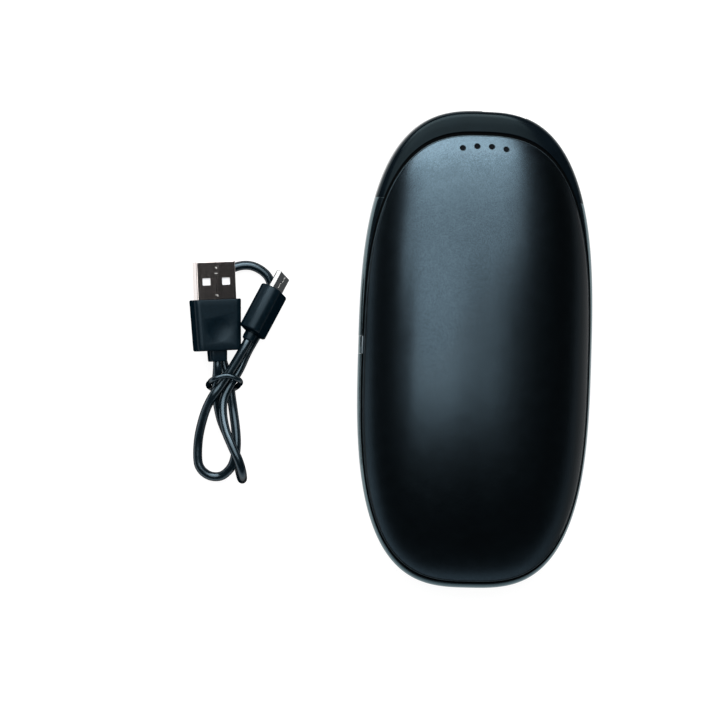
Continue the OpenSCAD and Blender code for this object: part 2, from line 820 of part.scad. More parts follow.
// Two battery leads from the nickel tabs to the board
lead_r = 0.75;
lead_z = tray_top + strip_t + lead_r;
lead_y = tray_front + 4 * lead_r;
module battery_leads() {
    translate([0, 0, mid_z]) {
        color(wire_red)
            tube([[tab_x, tray_front - 2 * lead_r, lead_z], [tab_x, tray_front, lead_z],
                [tab_x, tray_front + 1.8 * lead_r, lead_z - lead_r / 2], [tab_x, lead_y - lead_r / 2, lead_z - 2 * lead_r],
                [tab_x, lead_y, lead_z - 3.5 * lead_r], [tab_x, lead_y, board_top]], lead_r);
        color(wire_black)
            tube([[rear_tab_x, tray_rear, lead_z], [rear_tab_x, cell_rear, lead_z], [rear_tab_x, 0, lead_z],
                [rear_tab_x, tray_front, lead_z], [rear_tab_x, tray_front + 1.8 * lead_r, lead_z - lead_r / 2],
                [rear_tab_x, lead_y - lead_r / 2, lead_z - 2 * lead_r],
                [rear_tab_x, lead_y, lead_z - 3.5 * lead_r], [rear_tab_x, lead_y, board_top]], lead_r);
    }
}

// Wires from the heater films down to the board
heater_wire_r = 0.5;
module heater_leads() {
    x = -0.75 * cell_pitch;
    y = cell_front;
    color(wire_black)
    translate([0, 0, mid_z]) {
        top = dome(x, y, shell_wall) - film_t;
        tube([[x, y, top], [x, y + wall_gap, top - heater_wire_r], [x, tray_front + heater_wire_r, top - 3 * heater_wire_r],
            [x, tray_front + 4 * heater_wire_r, top / 3], [x, tray_front + 4 * heater_wire_r, board_top]],
            heater_wire_r, [0, 1, 0]);
        tube([[-x, y, -top], [-x, y + wall_gap, heater_wire_r - top], [-x, tray_front + heater_wire_r, 3 * heater_wire_r - top],
            [-x, tray_front + 4 * heater_wire_r, -top / 2], [-x, tray_front + 4 * heater_wire_r, board_top - board_t]],
            heater_wire_r, [0, 1, 0]);
    }
}

module frame_screw(x, y, z) {
    translate([x, y, z]) {
        translate([0, 0, -screw_head_h])
            cylinder(h = screw_head_h, r = screw_head_r, $fn = 24);
        cylinder(h = screw_l, r = screw_r, $fn = 24);
    }
}
module frame_screws() {
    color(steel)
    translate([0, 0, mid_z])
        for (side = [-1, 1]) {
            frame_screw(side * front_lug_x, front_lug_y, board_top - board_t);
            frame_screw(side * rear_lug_x, rear_lug_y, board_top);
        }
}

// Wide plug: the origin of its own frame is the middle of the grip's front face.
// It leans to the right, on the strand of cord beneath it.
plug_place = [-77.3, 12.64, 7];
plug_angle = 4;
plug_lean_angle = 8.5;
plug_w = 12;
plug_h = 4.5;
plug_l = 11.2;
window_w = 2.3;
window_y = 5.3;
window_x = 3;
sleeve_l = 3.2;
sleeve_w = 5.45;
sleeve_h = 4.6;
module plug_frame() {
    translate(plug_place)
        rotate([0, plug_lean_angle, plug_angle])
            children();
}
module cable_usb_a_shell() {
    color(steel)
    plug_frame()
    difference() {
        box([-plug_w / 2, 0, -plug_h / 2], [plug_w / 2, plug_l, plug_h / 2]);
        box([-plug_w / 2 + metal_t, -metal_t, -plug_h / 2 + metal_t],
            [plug_w / 2 - metal_t, plug_l + metal_t, plug_h / 2 - metal_t]);
        for (side = [-1, 1])
            box([side * window_x - window_w / 2, window_y - window_w / 2, -plug_h],
                [side * window_x + window_w / 2, window_y + window_w / 2, plug_h]);
    }
}
plug_tongue_h = 1.95;
module cable_usb_a_tongue() {
    color(plastic_white)
    plug_frame()
        box([-plug_w / 2 + metal_t, 0, plug_h / 2 - metal_t - plug_tongue_h],
            [plug_w / 2 - metal_t, plug_l - metal_t, plug_h / 2 - metal_t]);
}
module cable_usb_a_contacts() {
    color(gold)
    plug_frame()
        usb_a_contacts(0, plug_l - 3 * metal_t, plug_h / 2 - metal_t - plug_tongue_h - contact_t);
}

// Moulded grip: a slab with rounded corners and bevelled faces, narrower to the rear
grip_rear_w = 13.4;
grip_corner = 1.8;
grip_bevel = 1.1;
dimple_r = 3.6;
dimple_y = 7.5;
dimple_depth = 0.35;
module grip_outline(inset) {
    for (side = [-1, 1]) {
        translate([side * (grip_w / 2 - grip_corner), -grip_corner])
            circle(r = grip_corner - inset, $fn = 32);
        translate([side * (grip_rear_w / 2 - grip_corner), -grip_l + grip_corner])
            circle(r = grip_corner - inset, $fn = 32);
    }
}
module cable_usb_a_grip() {
    sleeve_r = sleeve_h / 2;
    color(satin_black)
    plug_frame()
    difference() {
        union() {
            hull() {
                translate([0, 0, -grip_h / 2 + grip_bevel])
                    linear_extrude(grip_h - 2 * grip_bevel)
                        grip_outline(0);
                translate([0, 0, -grip_h / 2])
                    linear_extrude(grip_h)
                        grip_outline(grip_bevel);
            }
            hull()
                for (side = [-1, 1])
                    translate([side * (sleeve_w / 2 - sleeve_r), -grip_l + grip_bevel, 0])
                        rotate([90, 0, 0])
                            cylinder(h = sleeve_l + grip_bevel, r = sleeve_r, $fn = 32);
        }
        translate([0, -dimple_y, grip_h / 2 - dimple_depth])
            cylinder(h = grip_h, r = dimple_r, $fn = 48);
    }
}

// Cord: one line from the wide plug through the tied bundle to the small plug
cord_route = [
    [-76, -5.2, 7], [-76, -8.4, 6.8], [-76, -12.2, 4.8], [-75.6, -15.8, 3.2], [-74.8, -19.6, 2],
    [-73.6, -23.6, 1.4], [-71.6, -28, 1.4], [-69.8, -31.6, 1.4], [-68.7, -34.6, 1.4], [-68, -38, 2.5],
    [-67.7, -40.1, 5.3], [-67.8, -40.1, 8.7], [-68.4, -38.1, 11.5], [-69.6, -34.8, 12.6],
    [-71.6, -30.6, 12.1], [-73.4, -26, 10.2], [-74.2, -21, 8.2], [-73.8, -16.5, 6.8],
    [-71.8, -12.2, 6.4], [-69.3, -8, 5.4], [-66.6, -2.5, 2.8], [-63, 4, 1.4], [-60.4, 10, 1.4],
    [-59.6, 15.5, 1.4], [-61.3, 20.3, 1.4], [-66, 23, 1.4], [-71.3, 22.3, 1.4], [-75.3, 18.8, 1.4],
    [-76.8, 13, 1.4], [-76.4, 5, 1.4], [-75, -2, 1.5], [-73.2, -7.6, 2], [-71.8, -12.2, 3.1],
    [-71.2, -16, 3.2], [-70.4, -20.6, 3.2], [-69.7, -26, 4.4], [-69.5, -30.4, 5.2], [-69.9, -34.4, 5],
    [-71, -37.4, 3.8], [-73.5, -39.7, 2.2], [-76.8, -39.7, 1.5], [-79.5, -37.7, 1.5],
    [-80.5, -34.5, 1.5], [-80.4, -28, 2.2], [-79.2, -21, 5.4], [-77.4, -16.2, 8], [-74.8, -12.2, 8.4],
    [-71.6, -7, 9.3], [-68.7, -1.6, 10.1], [-67.4, 0.8, 9.8]
];
cord_step = 1.2 * cord_d;
fine_step = cord_d / 4;
module cable_cord() {
    fine_line = smooth_line(cord_route, fine_step);
    echo(cord_length = line_length(fine_line),
        least_gap_between_strands = least_gap(fine_line, cord_d, round(3 * cord_d / fine_step)));
    color(satin_black)
        tube(smooth_line(cord_route, cord_step), cord_d / 2);
}

// Tie: one turn of round elastic about the bundle, bowed towards the plugs on top
tie_centre = [-73.7, -12.2, 6];
tie_r = 0.8;
tie_half_w = 4.55;
tie_half_h = 5.15;
tie_bow = 2.4;
tie_power = 4;
tie_steps = 48;
function tie_point(turn) =
    let (k = pow(pow(abs(cos(turn)), tie_power) + pow(abs(sin(turn)), tie_power), 1 / tie_power))
    tie_centre + [tie_half_w * cos(turn) / k, tie_bow * sin(turn) * abs(sin(turn)),
        tie_half_h * sin(turn) / k];
module cable_tie() {
    color(satin_black)
        tube([for (i = [0:tie_steps - 1]) tie_point(360 * i / tie_steps)], tie_r,
            unit([0, -tie_half_h, tie_bow]), true);
}

// Small plug, rolled about its own length so that one long edge stands up.
// Its front rests on the cord and its rear on the edge of the wide plug.
small_place = [-59.8, 15.75, 7.9];
small_angle = -27.3;
small_pitch_angle = -7;
small_roll_angle = 55;
small_grip_w = 9.5;
small_grip_h = 6.3;
small_grip_l = 14.2;
small_corner = 2.4;
collar_r = 2;
collar_l = 2.8;
small_plug_w = 6.85;
small_plug_h = 1.8;
small_plug_l = 5.5;
module small_frame() {
    translate(small_place)
        rotate([small_pitch_angle, 0, small_angle])
            rotate([0, small_roll_angle, 0])
                children();
}
module cable_micro_grip() {
    color(satin_black)
    small_frame() {
        hull()
            for (x = [-1, 1])
                for (z = [-1, 1])
                    translate([x * (small_grip_w / 2 - small_corner), 0, z * (small_grip_h / 2 - small_corner)])
                        rotate([90, 0, 0]) {
                            translate([0, 0, small_corner / 3])
                                cylinder(h = small_grip_l - small_corner * 2 / 3, r = small_corner, $fn = 24);
                            cylinder(h = small_grip_l, r = small_corner * 2 / 3, $fn = 24);
                        }
        rotate([90, 0, 0])
            cylinder(h = small_grip_l + collar_l, r = collar_r, $fn = 24);
    }
}
module cable_micro_shell() {
    color(steel)
    small_frame()
    translate([0, 0, -small_plug_h / 2])
    difference() {
        along_y(0, small_plug_l)
            micro_profile(small_plug_w, small_plug_h);
        translate([0, 0, metal_t])
            along_y(-metal_t, small_plug_l + metal_t)
                micro_profile(small_plug_w - 2 * metal_t, small_plug_h - 2 * metal_t);
    }
}
module cable_micro_tongue() {
    color(satin_black)
    small_frame()
        box([-small_plug_w / 2 + 3 * metal_t, 0, -small_plug_h / 2 + metal_t],
            [small_plug_w / 2 - 3 * metal_t, small_plug_l - metal_t, 0]);
}

top_shell();
bottom_shell();
mid_frame();
end_cap();
power_button();
switch_plunger();
switch_body();
switch_board();
circuit_board();
board_chips();
power_inductor();
usb_a_socket_shell();
usb_a_socket_tongue();
usb_a_socket_contacts();
micro_usb_socket_shell();
micro_usb_socket_tongue();
light_board();
light_header();
status_lights();
light_guide();
battery_tray();
cell_left();
cell_middle();
cell_right();
nickel_strips();
heater_film_top();
heater_film_bottom();
foam_pad_top();
foam_pad_bottom();
thermistor();
battery_leads();
heater_leads();
frame_screws();
cable_usb_a_shell();
cable_usb_a_tongue();
cable_usb_a_contacts();
cable_usb_a_grip();
cable_cord();
cable_tie();
cable_micro_grip();
cable_micro_shell();
cable_micro_tongue();
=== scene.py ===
"""Rechargeable hand warmer with its short tied charging cable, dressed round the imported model.

Shapes repeat the sizes of the part's source in millimetres, and become metres as each mesh is made.
Heights of the warmer's own shapes are measured from its middle plane.
"""

import json
import math

import bmesh
import bpy
from mathutils import Matrix, Vector


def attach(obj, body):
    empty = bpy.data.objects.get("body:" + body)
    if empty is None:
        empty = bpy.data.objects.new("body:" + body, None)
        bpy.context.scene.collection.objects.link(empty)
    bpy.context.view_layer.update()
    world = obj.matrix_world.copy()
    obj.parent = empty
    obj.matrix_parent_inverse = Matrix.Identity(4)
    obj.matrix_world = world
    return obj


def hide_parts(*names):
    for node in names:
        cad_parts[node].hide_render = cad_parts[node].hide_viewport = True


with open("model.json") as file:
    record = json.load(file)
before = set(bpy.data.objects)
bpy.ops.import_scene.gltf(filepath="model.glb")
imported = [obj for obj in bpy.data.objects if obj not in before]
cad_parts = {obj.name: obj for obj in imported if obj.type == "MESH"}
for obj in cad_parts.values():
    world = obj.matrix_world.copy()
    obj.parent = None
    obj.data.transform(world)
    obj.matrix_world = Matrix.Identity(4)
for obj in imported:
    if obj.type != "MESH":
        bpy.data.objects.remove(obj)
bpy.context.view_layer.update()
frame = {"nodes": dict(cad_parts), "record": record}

MM = 0.001

# Warmer body: half width and length, squareness of the outline, wall, height of the dome and of the middle
# plane, form of the dome, and points round the outline
HALF_W, HALF_L = 35.1, 70.75
FRONT_POWER, REAR_POWER = 2.78, 3.0
WALL = 1.2
CROWN, MID_Z = 14.1, 13.9
DOME_FALL, DOME_ROUND = 3.0, 1.3
RAYS = 256

# Edge of the shells and lip of the band: half width, half length and middle along the body
EDGE_A, EDGE_B, EDGE_MID = 33.85, 66.15, -2.7
LIP_A, LIP_B, LIP_MID = 34.3, 66.9, -2.45

# Shells: rounded rim, inner face, and the rings as shares of the edge's outline
CHAMFER, CHAMFER_STEPS, RIM_SUPPORT = 0.25, 4, 0.12
RIM_SHARE = 0.9636
SKIN_SHARES = [0.04, 0.1, 0.16, 0.21, 0.25, 0.264, 0.28, 0.33, 0.38, 0.43, 0.48, 0.53, 0.58, 0.62, 0.66, 0.7,
               0.735, 0.77, 0.8, 0.83, 0.855, 0.88, 0.9, 0.92, 0.935, 0.95, 0.962, 0.974, 0.984]
INNER_SHARES = [0.9, 0.8, 0.62, 0.5, 0.28]

# Gloss band: its groove, its bulging side in rows, its soft lip and its seam to the end cap
GROOVE_DEPTH, LIP_DROP, FRAME_WALL = 0.75, 0.4, 2.4
BULGE, FRONT_BULGE = 2.2, 4.8
BAND_SHARES = [0, 0.1, 0.2, 0.3, 0.4, 0.5, 0.6, 0.68, 0.75, 0.81, 0.86, 0.9, 0.935, 0.965]
LIP_SOFT, LIP_BLEND, LIP_SHARE = 0.14, 0.35, 0.99
SEAM_Y, SEAM_GAP, SEAM_SOFT, SEAM_SINK = 44.25, 0.02, 0.15, 0.08
SEAM_FACING, SEAM_SIDE_X = 0.15, 25

# Lugs inside the frame: LUGS holds each pair's distance along the body and from the wall
LUG_R, LUG_HOLE_R = 3.0, 1.1
LUG_LOW, LUG_HIGH = -0.9, 1.1
LUG_BAR_START, LUG_BAR_SINK = 0.75, 0.3
LUGS = ((38.25, 6.05), (-40.75, 8.4))

# Status lights: the arc that they lie on, their holes and the flare round each
LIGHTS, LIGHT_ARC, LIGHT_PITCH, LIGHT_TOP_Y = 4, 29.8, 4.39, 60.15
LIGHT_R, HOLE_SIDES, FLARE_SIDES = 0.75, 40, 36
HOLE_TURN, HOLE_TURN_STEP = 0.03, 0.02
LIGHT_FLARE, LIGHT_FLARE_DEPTH, FLARE_LOW = 0.45, 0.3, -0.4
SLOPE_STEP = 0.05

# Side button and its pocket in the band, where each x is that of a plane on the left side
BUTTON_Y, BUTTON_HALF_L, BUTTON_HALF_H = 0.5, 2.6, 2.0
BUTTON_EDGE, BUTTON_RIM, BUTTON_SOFT = 0.1, 0.3, 0.06
BUTTON_SINK, BUTTON_SWELL, BUTTON_STEPS = 0.05, 0.02, 16
BUTTON_GAP, POCKET_GAP = 0.2, 0.04
OUTSIDE_X, POCKET_X, STEM_SLOT_X = -80, -33.55, -29
FACE_IN_X = -33.9
STEM_HALF_L, STEM_HALF_H = 2.3, 0.7
FLANGE_X, FLANGE_T, FLANGE_OVER = -31.4, 0.8, 0.9

# Openings for the sockets: middle x, width, lowest and highest z
USB_OPENING = (6.5, 13.4, -2.95, 2.95)
MICRO_OPENING = (-9.5, 7.7, -1.0, 1.7)
OPENING_CORNER, OPENING_FLARE = 0.35, 0.75
OPENING_Y, OPENING_EDGE_Y = (50, 80), (69.6, 71.1)
CAP_WALL, CAP_POCKET_HALF_W, CAP_POCKET_HALF_H, CAP_POCKET_Y = 3.4, 19.0, 3.1, 20

# Wide plug: metal shell with two windows and a seam, grip with a dimple, sleeve
PLUG_PLACE = (-77.3, 12.64, 7.0)
PLUG_ANGLE, PLUG_LEAN = 4.0, 8.5
PLUG_W, PLUG_H, PLUG_L, METAL_T = 12.0, 4.5, 11.2, 0.3
PLUG_CORNER, PLUG_EDGE, PLUG_SUPPORT, PLUG_SUNK = 0.32, 0.12, 0.25, 0.4
WINDOW_X, WINDOW_Y, WINDOW_W, WINDOW_L, WINDOW_CORNER = 3.0, 5.3, 2.45, 2.2, 0.25
PLUG_SEAM_HALF_W, PLUG_SEAM_DEPTH, PLUG_SEAM_Y = 0.05, 0.12, (-1, 12)
GRIP_W, GRIP_REAR_W, GRIP_H, GRIP_L = 14.6, 13.4, 7.5, 15.2
GRIP_CORNER, GRIP_FRONT_EDGE, GRIP_REAR_EDGE, GRIP_PARTS = 1.6, 0.4, 0.5, 8
SLEEVE_W, SLEEVE_H, SLEEVE_L = 5.45, 4.6, 3.2
SLEEVE_SUNK, SLEEVE_STRAIGHT, SLEEVE_TAPER, SLEEVE_CORNER, SLEEVE_EDGE = 1, 0.3, 0.1, 1.1, 0.4
DIMPLE_Y, DIMPLE_R, DIMPLE_DEPTH = -9.0, 3.6, 0.45
BALL_RINGS, BALL_SIDES = 40, 96

# Small plug: its grip, the collar as rings of (place ahead of the grip's end, radius), and its metal tip
SMALL_PLACE = (-59.8, 15.75, 7.9)
SMALL_ANGLE, SMALL_PITCH, SMALL_ROLL = -27.3, -7.0, 55.0
SMALL_W, SMALL_H, SMALL_L, SMALL_CORNER, SMALL_EDGE = 9.9, 6.7, 14.2, 2.9, 0.45
COLLAR = ((0.5, 1.75), (-0.35, 1.75), (-0.55, 2.0), (-1.9, 2.0), (-2.55, 1.9), (-2.8, 1.6))
TIP_W, TIP_H, TIP_L, TIP_SUNK = 6.85, 1.8, 5.5, 0.3
TIP_EDGE, TIP_EDGE_L, TIP_BEVELS = 0.08, 0.1, 3
# How far a face of the small plug's tip must turn left to get the painted light
LEFT_FACING = 0.8

# Painted glints on both plugs, small raised marks in a light colour: paths, width, depth in the metal and
# height over it
PLUG_MARKS = (((-0.1, 9.45), (0.25, 9.45), (0.25, 9.1)), ((-0.35, 7.7), (0.4, 7.7)),
              ((-0.3, 1.3), (0.3, 1.3)), ((0.3, 1.3), (0.3, 0.9)))
SMALL_MARKS = (((0.5, 4.9), (0.1, 4.6), (0.5, 3.9), (0.2, 3.3)),
               ((-0.1, 2.8), (-0.5, 2.4), (-0.1, 1.7), (-0.6, 1.1)))
PLUG_MARK_W, SMALL_MARK_W, MARK_DEPTH = 0.16, 0.17, 0.05
PLUG_MARK_RISE, SMALL_MARK_RISE = 0.03, 0.05

# Rounding: steps on a corner and on an edge, how far a flat's extra points lie from its corner, in
# millimetres or as a share of a short flat, the least corner radius, and where a soft edge's middle ring is
CORNER_STEPS, EDGE_STEPS = 6, 4
FLAT_POINT, FLAT_SHARE = 0.25, 0.6
LEAST_CORNER = 0.05
EDGE_SHARE = 0.3

# Cord and its tie, in millimetres
CORD_D = 2.7
CORD_STEP, CORD_ROUNDING = CORD_D / 4, 6
CORD_ROUTE = (
    (-76, -5.2, 7), (-76, -8.4, 6.8), (-76, -12.2, 4.8), (-75.6, -15.8, 3.2), (-74.8, -19.6, 2),
    (-73.6, -23.6, 1.4), (-71.6, -28, 1.4), (-69.8, -31.6, 1.4), (-68.7, -34.6, 1.4), (-68, -38, 2.5),
    (-67.7, -40.1, 5.3), (-67.8, -40.1, 8.7), (-68.4, -38.1, 11.5), (-69.6, -34.8, 12.6),
    (-71.6, -30.6, 12.1), (-73.4, -26, 10.2), (-74.2, -21, 8.2), (-73.8, -16.5, 6.8),
    (-71.8, -12.2, 6.4), (-69.3, -8, 5.4), (-66.6, -2.5, 2.8), (-63, 4, 1.4), (-60.4, 10, 1.4),
    (-59.6, 15.5, 1.4), (-61.3, 20.3, 1.4), (-66, 23, 1.4), (-71.3, 22.3, 1.4), (-75.3, 18.8, 1.4),
    (-76.8, 13, 1.4), (-76.4, 5, 1.4), (-75, -2, 1.5), (-73.2, -7.6, 2), (-71.8, -12.2, 3.1),
    (-71.2, -16, 3.2), (-70.4, -20.6, 3.2), (-69.7, -26, 4.4), (-69.5, -30.4, 5.2), (-69.9, -34.4, 5),
    (-71, -37.4, 3.8), (-73.5, -39.7, 2.2), (-76.8, -39.7, 1.5), (-79.5, -37.7, 1.5),
    (-80.5, -34.5, 1.5), (-80.4, -28, 2.2), (-79.2, -21, 5.4), (-77.4, -16.2, 8), (-74.8, -12.2, 8.4),
    (-71.6, -7, 9.3), (-68.7, -1.6, 10.1), (-67.4, 0.8, 9.8),
)
TIE_CENTRE = (-73.7, -12.2, 6.0)
TIE_R, TIE_HALF_W, TIE_HALF_H, TIE_BOW, TIE_POWER = 0.8, 4.55, 5.15, 2.4, 4.0
TIE_STEPS, TIE_SIDES, TIE_TURN_STEP = 96, 14, 0.01

# Booleans need a slot for each material that a cut may have
CUT_SLOTS = 3


# Formulas of the body, where a turn is an angle round the outline

def power_at(s):
    """Squareness of the outline towards the rear, where s is below 0, or the sockets."""
    return REAR_POWER if s < 0 else FRONT_POWER


def spread(c, s):
    """How far out (c, s) lies, where 1 is on the outline."""
    power = power_at(s)
    return (abs(c) ** power + abs(s) ** power) ** (1 / power)


def oval(a, b, turn):
    """Point at one turn of an outline with half width a and half length b."""
    k = spread(math.cos(turn), math.sin(turn))
    return a * math.cos(turn) / k, b * math.sin(turn) / k


def dome(x, y, inset=0.0):
    """Height of the dome, or of its inner face at a depth of inset."""
    share = spread(x / (HALF_W - inset), y / (HALF_L - inset))
    return (CROWN - inset) * max(0.0, 1 - share ** DOME_FALL) ** (1 / DOME_ROUND)


def rim(turn, inset=0.0):
    """Point on the edge of the shells."""
    x, y = oval(EDGE_A - inset, EDGE_B - inset, turn)
    return x, y + EDGE_MID


def rim_part(turn, share):
    """Point at a share of the way from the middle to the edge of the shells."""
    x, y = oval(EDGE_A, EDGE_B, turn)
    return x * share, y * share + EDGE_MID


def lip(turn):
    """Point on the lip of the band."""
    x, y = oval(LIP_A, LIP_B, turn)
    return x, y + LIP_MID


def rim_z(turn):
    """Height of the shells' edge."""
    return dome(*rim(turn))


def lip_z(turn):
    """Height of the band's lip."""
    return rim_z(turn) - LIP_DROP


def ledge_z(turn):
    """Height of the ledge at the foot of the groove."""
    return lip_z(turn) - GROOVE_DEPTH


def wall_x(y):
    """Half width of the frame's inner wall at a distance along the body."""
    power = power_at(y - EDGE_MID)
    return (EDGE_A - FRAME_WALL) * (1 - (abs(y - EDGE_MID) / (EDGE_B - FRAME_WALL)) ** power) ** (1 / power)


TURNS = [2 * math.pi * i / RAYS for i in range(RAYS)]


# Mesh helpers

def new_object(name, data):
    """An object in the scene for a mesh, a curve, a lamp or a camera."""
    obj = bpy.data.objects.new(name, data)
    bpy.context.scene.collection.objects.link(obj)
    return obj


def mesh_from(name, points, faces, place=None):
    """A mesh object from points in millimetres, moved by place first."""
    place = place or Matrix.Identity(4)
    mesh = bpy.data.meshes.new(name)
    mesh.from_pydata([(place @ Vector(p)) * MM for p in points], [], faces)
    mesh.update()
    obj = new_object(name, mesh)
    fix_normals(obj)
    return obj


def fix_normals(obj):
    """Turns the faces outwards."""
    bm = bmesh.new()
    bm.from_mesh(obj.data)
    bmesh.ops.recalc_face_normals(bm, faces=bm.faces)
    bm.to_mesh(obj.data)
    bm.free()


def skin(rings, first=None, last=None, around=False):
    """Points and faces of rings joined one after another, closed by end points or round on themselves."""
    n = len(rings[0])
    points = [p for ring in rings for p in ring]
    faces = []
    pairs = len(rings) if around else len(rings) - 1
    for r in range(pairs):
        s = (r + 1) % len(rings)
        for i in range(n):
            j = (i + 1) % n
            faces.append((r * n + i, s * n + i, s * n + j, r * n + j))
    if first is not None:
        points.append(first)
        faces += [(len(points) - 1, i, (i + 1) % n) for i in range(n)]
    if last is not None:
        base = (len(rings) - 1) * n
        points.append(last)
        faces += [(len(points) - 1, base + (i + 1) % n, base + i) for i in range(n)]
    return points, faces


def skinned(name, rings, place=None, first=None, last=None, around=False):
    """A mesh object whose skin goes over the rings, as skin() does it."""
    points, faces = skin(rings, first, last, around)
    return mesh_from(name, points, faces, place)


def closed_along_y(name, rings, place):
    """A solid over rings across Y, closed at each end by a point on the axis."""
    first, last = ((0, ring[0][1], 0) for ring in (rings[0], rings[-1]))
    return skinned(name, rings, place, first, last)


def rounded(half_w, half_h, radius):
    """Outline of a rectangle with round corners, as (across, up) points.

    A point on each flat close to each corner keeps the flats flat when they are shaded.
    """
    points = []
    flats = (half_h - radius, half_w - radius)
    for cx, cz, start in ((1, 1, 0), (-1, 1, 1), (-1, -1, 2), (1, -1, 3)):
        arc = []
        for k in range(CORNER_STEPS + 1):
            angle = (start + k / CORNER_STEPS) * math.pi / 2
            arc.append((cx * (half_w - radius) + radius * math.cos(angle),
                        cz * (half_h - radius) + radius * math.sin(angle)))
        before, after = (min(FLAT_POINT, FLAT_SHARE * flats[(start + k) % 2]) for k in (0, 1))
        way = start * math.pi / 2
        points.append((arc[0][0] + before * math.sin(way), arc[0][1] - before * math.cos(way)))
        points += arc
        points.append((arc[-1][0] - after * math.cos(way), arc[-1][1] - after * math.sin(way)))
    return points


def loft_y(sections):
    """Rings across Y from (y, half width, half height, corner radius) sections."""
    return [[(x, y, z) for x, z in rounded(w, h, r)] for y, w, h, r in sections]


def edge_sections(y, way, w, h, r, edge):
    """Sections that round the edge of an end face; way is the direction in which the piece goes on."""
    out = []
    for k in range(EDGE_STEPS + 1):
        angle = math.pi / 2 * k / EDGE_STEPS
        inset = edge * (1 - math.sin(angle))
        place = y + way * edge * (1 - math.cos(angle))
        out.append((place, w - inset, h - inset, max(LEAST_CORNER, r - inset)))
    return out


def prism(name, outline, low, high, place=None, flare=0.0, flare_depth=0.0):
    """A closed prism from an outline of (x, y) points, wider by flare at its high end."""
    centre = Vector((sum(p[0] for p in outline), sum(p[1] for p in outline))) / len(outline)
    wide = [centre + (Vector(p) - centre) * (1 + flare / (Vector(p) - centre).length) for p in outline]
    rings = [[(x, y, low) for x, y in outline]]
    if flare:
        rings.append([(x, y, high - flare_depth) for x, y in outline])
    rings.append([(x, y, high) for x, y in wide])
    points, faces = skin(rings)
    n = len(outline)
    faces += [tuple(range(n))[::-1], tuple(range(len(points) - n, len(points)))]
    return mesh_from(name, points, faces, place)


def block(name, low, high, place=None):
    """A closed block between two corners."""
    outline = [(low[0], low[1]), (high[0], low[1]), (high[0], high[1]), (low[0], high[1])]
    return prism(name, outline, low[2], high[2], place)


def carve(obj, cutters, cut_material=0):
    """Cuts the cutters out of obj for good; new faces get the material of that number."""
    for cutter in cutters:
        for mesh in (obj.data, cutter.data):
            while len(mesh.materials) < CUT_SLOTS:
                mesh.materials.append(None)
        for polygon in cutter.data.polygons:
            polygon.material_index = cut_material
        modifier = obj.modifiers.new("cut", "BOOLEAN")
        modifier.object = cutter
        modifier.solver = "EXACT"
    bpy.context.view_layer.update()
    evaluated = obj.evaluated_get(bpy.context.evaluated_depsgraph_get())
    mesh = bpy.data.meshes.new_from_object(evaluated)
    obj.modifiers.clear()
    old = obj.data
    obj.data = mesh
    bpy.data.meshes.remove(old)
    for cutter in cutters:
        bpy.data.objects.remove(cutter)


def join_into(obj, extra):
    """Adds the meshes of the extra objects to obj and removes them."""
    bm = bmesh.new()
    bm.from_mesh(obj.data)
    for other in extra:
        bm.from_mesh(other.data)
        bpy.data.objects.remove(other)
    bm.to_mesh(obj.data)
    bm.free()


def dress(obj, materials, body, nodes=(), sharp=35):
    """Materials, smooth shading, the body it rides on and the CAD nodes that it stands for."""
    old = [p.material_index for p in obj.data.polygons]
    obj.data.materials.clear()
    for look in materials:
        obj.data.materials.append(look)
    for polygon, index in zip(obj.data.polygons, old):
        polygon.material_index = min(index, len(materials) - 1)
        polygon.use_smooth = True
    obj.data.set_sharp_from_angle(angle=math.radians(sharp))
    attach(obj, body)
    if nodes:
        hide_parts(*nodes)


# Materials

# Metal flakes of the paint: cells per metre, their darkest and lightest level, and the turns away from the
# eye between which the paint goes dark
FLAKES, FLAKE_LEVELS, FLAKE_TURN = 5200, (0.78, 1.22), (0.1, 0.42)


def by_angle(mat, start, end, face_on, edge_on):
    """Output that goes from face_on to edge_on as the surface turns away from the eye."""
    nodes, links = mat.node_tree.nodes, mat.node_tree.links
    facing = nodes.new("ShaderNodeLayerWeight")
    facing.inputs["Blend"].default_value = 0.5
    change = nodes.new("ShaderNodeMapRange")
    change.interpolation_type = "SMOOTHSTEP"
    change.inputs["From Min"].default_value = start
    change.inputs["From Max"].default_value = end
    change.inputs["To Min"].default_value = face_on
    change.inputs["To Max"].default_value = edge_on
    links.new(facing.outputs["Facing"], change.inputs["Value"])
    return change.outputs["Result"]


def mix_colour(tree, factor, a, b):
    """Output that mixes a and b, each a colour or another output."""
    node = tree.nodes.new("ShaderNodeMix")
    node.data_type = "RGBA"
    sockets = [s for s in node.inputs if s.type == "RGBA"]
    for socket, value in zip(sockets, (a, b)):
        if isinstance(value, tuple):
            socket.default_value = value
        else:
            tree.links.new(value, socket)
    tree.links.new(factor, node.inputs["Factor"])
    return [s for s in node.outputs if s.type == "RGBA"][0]


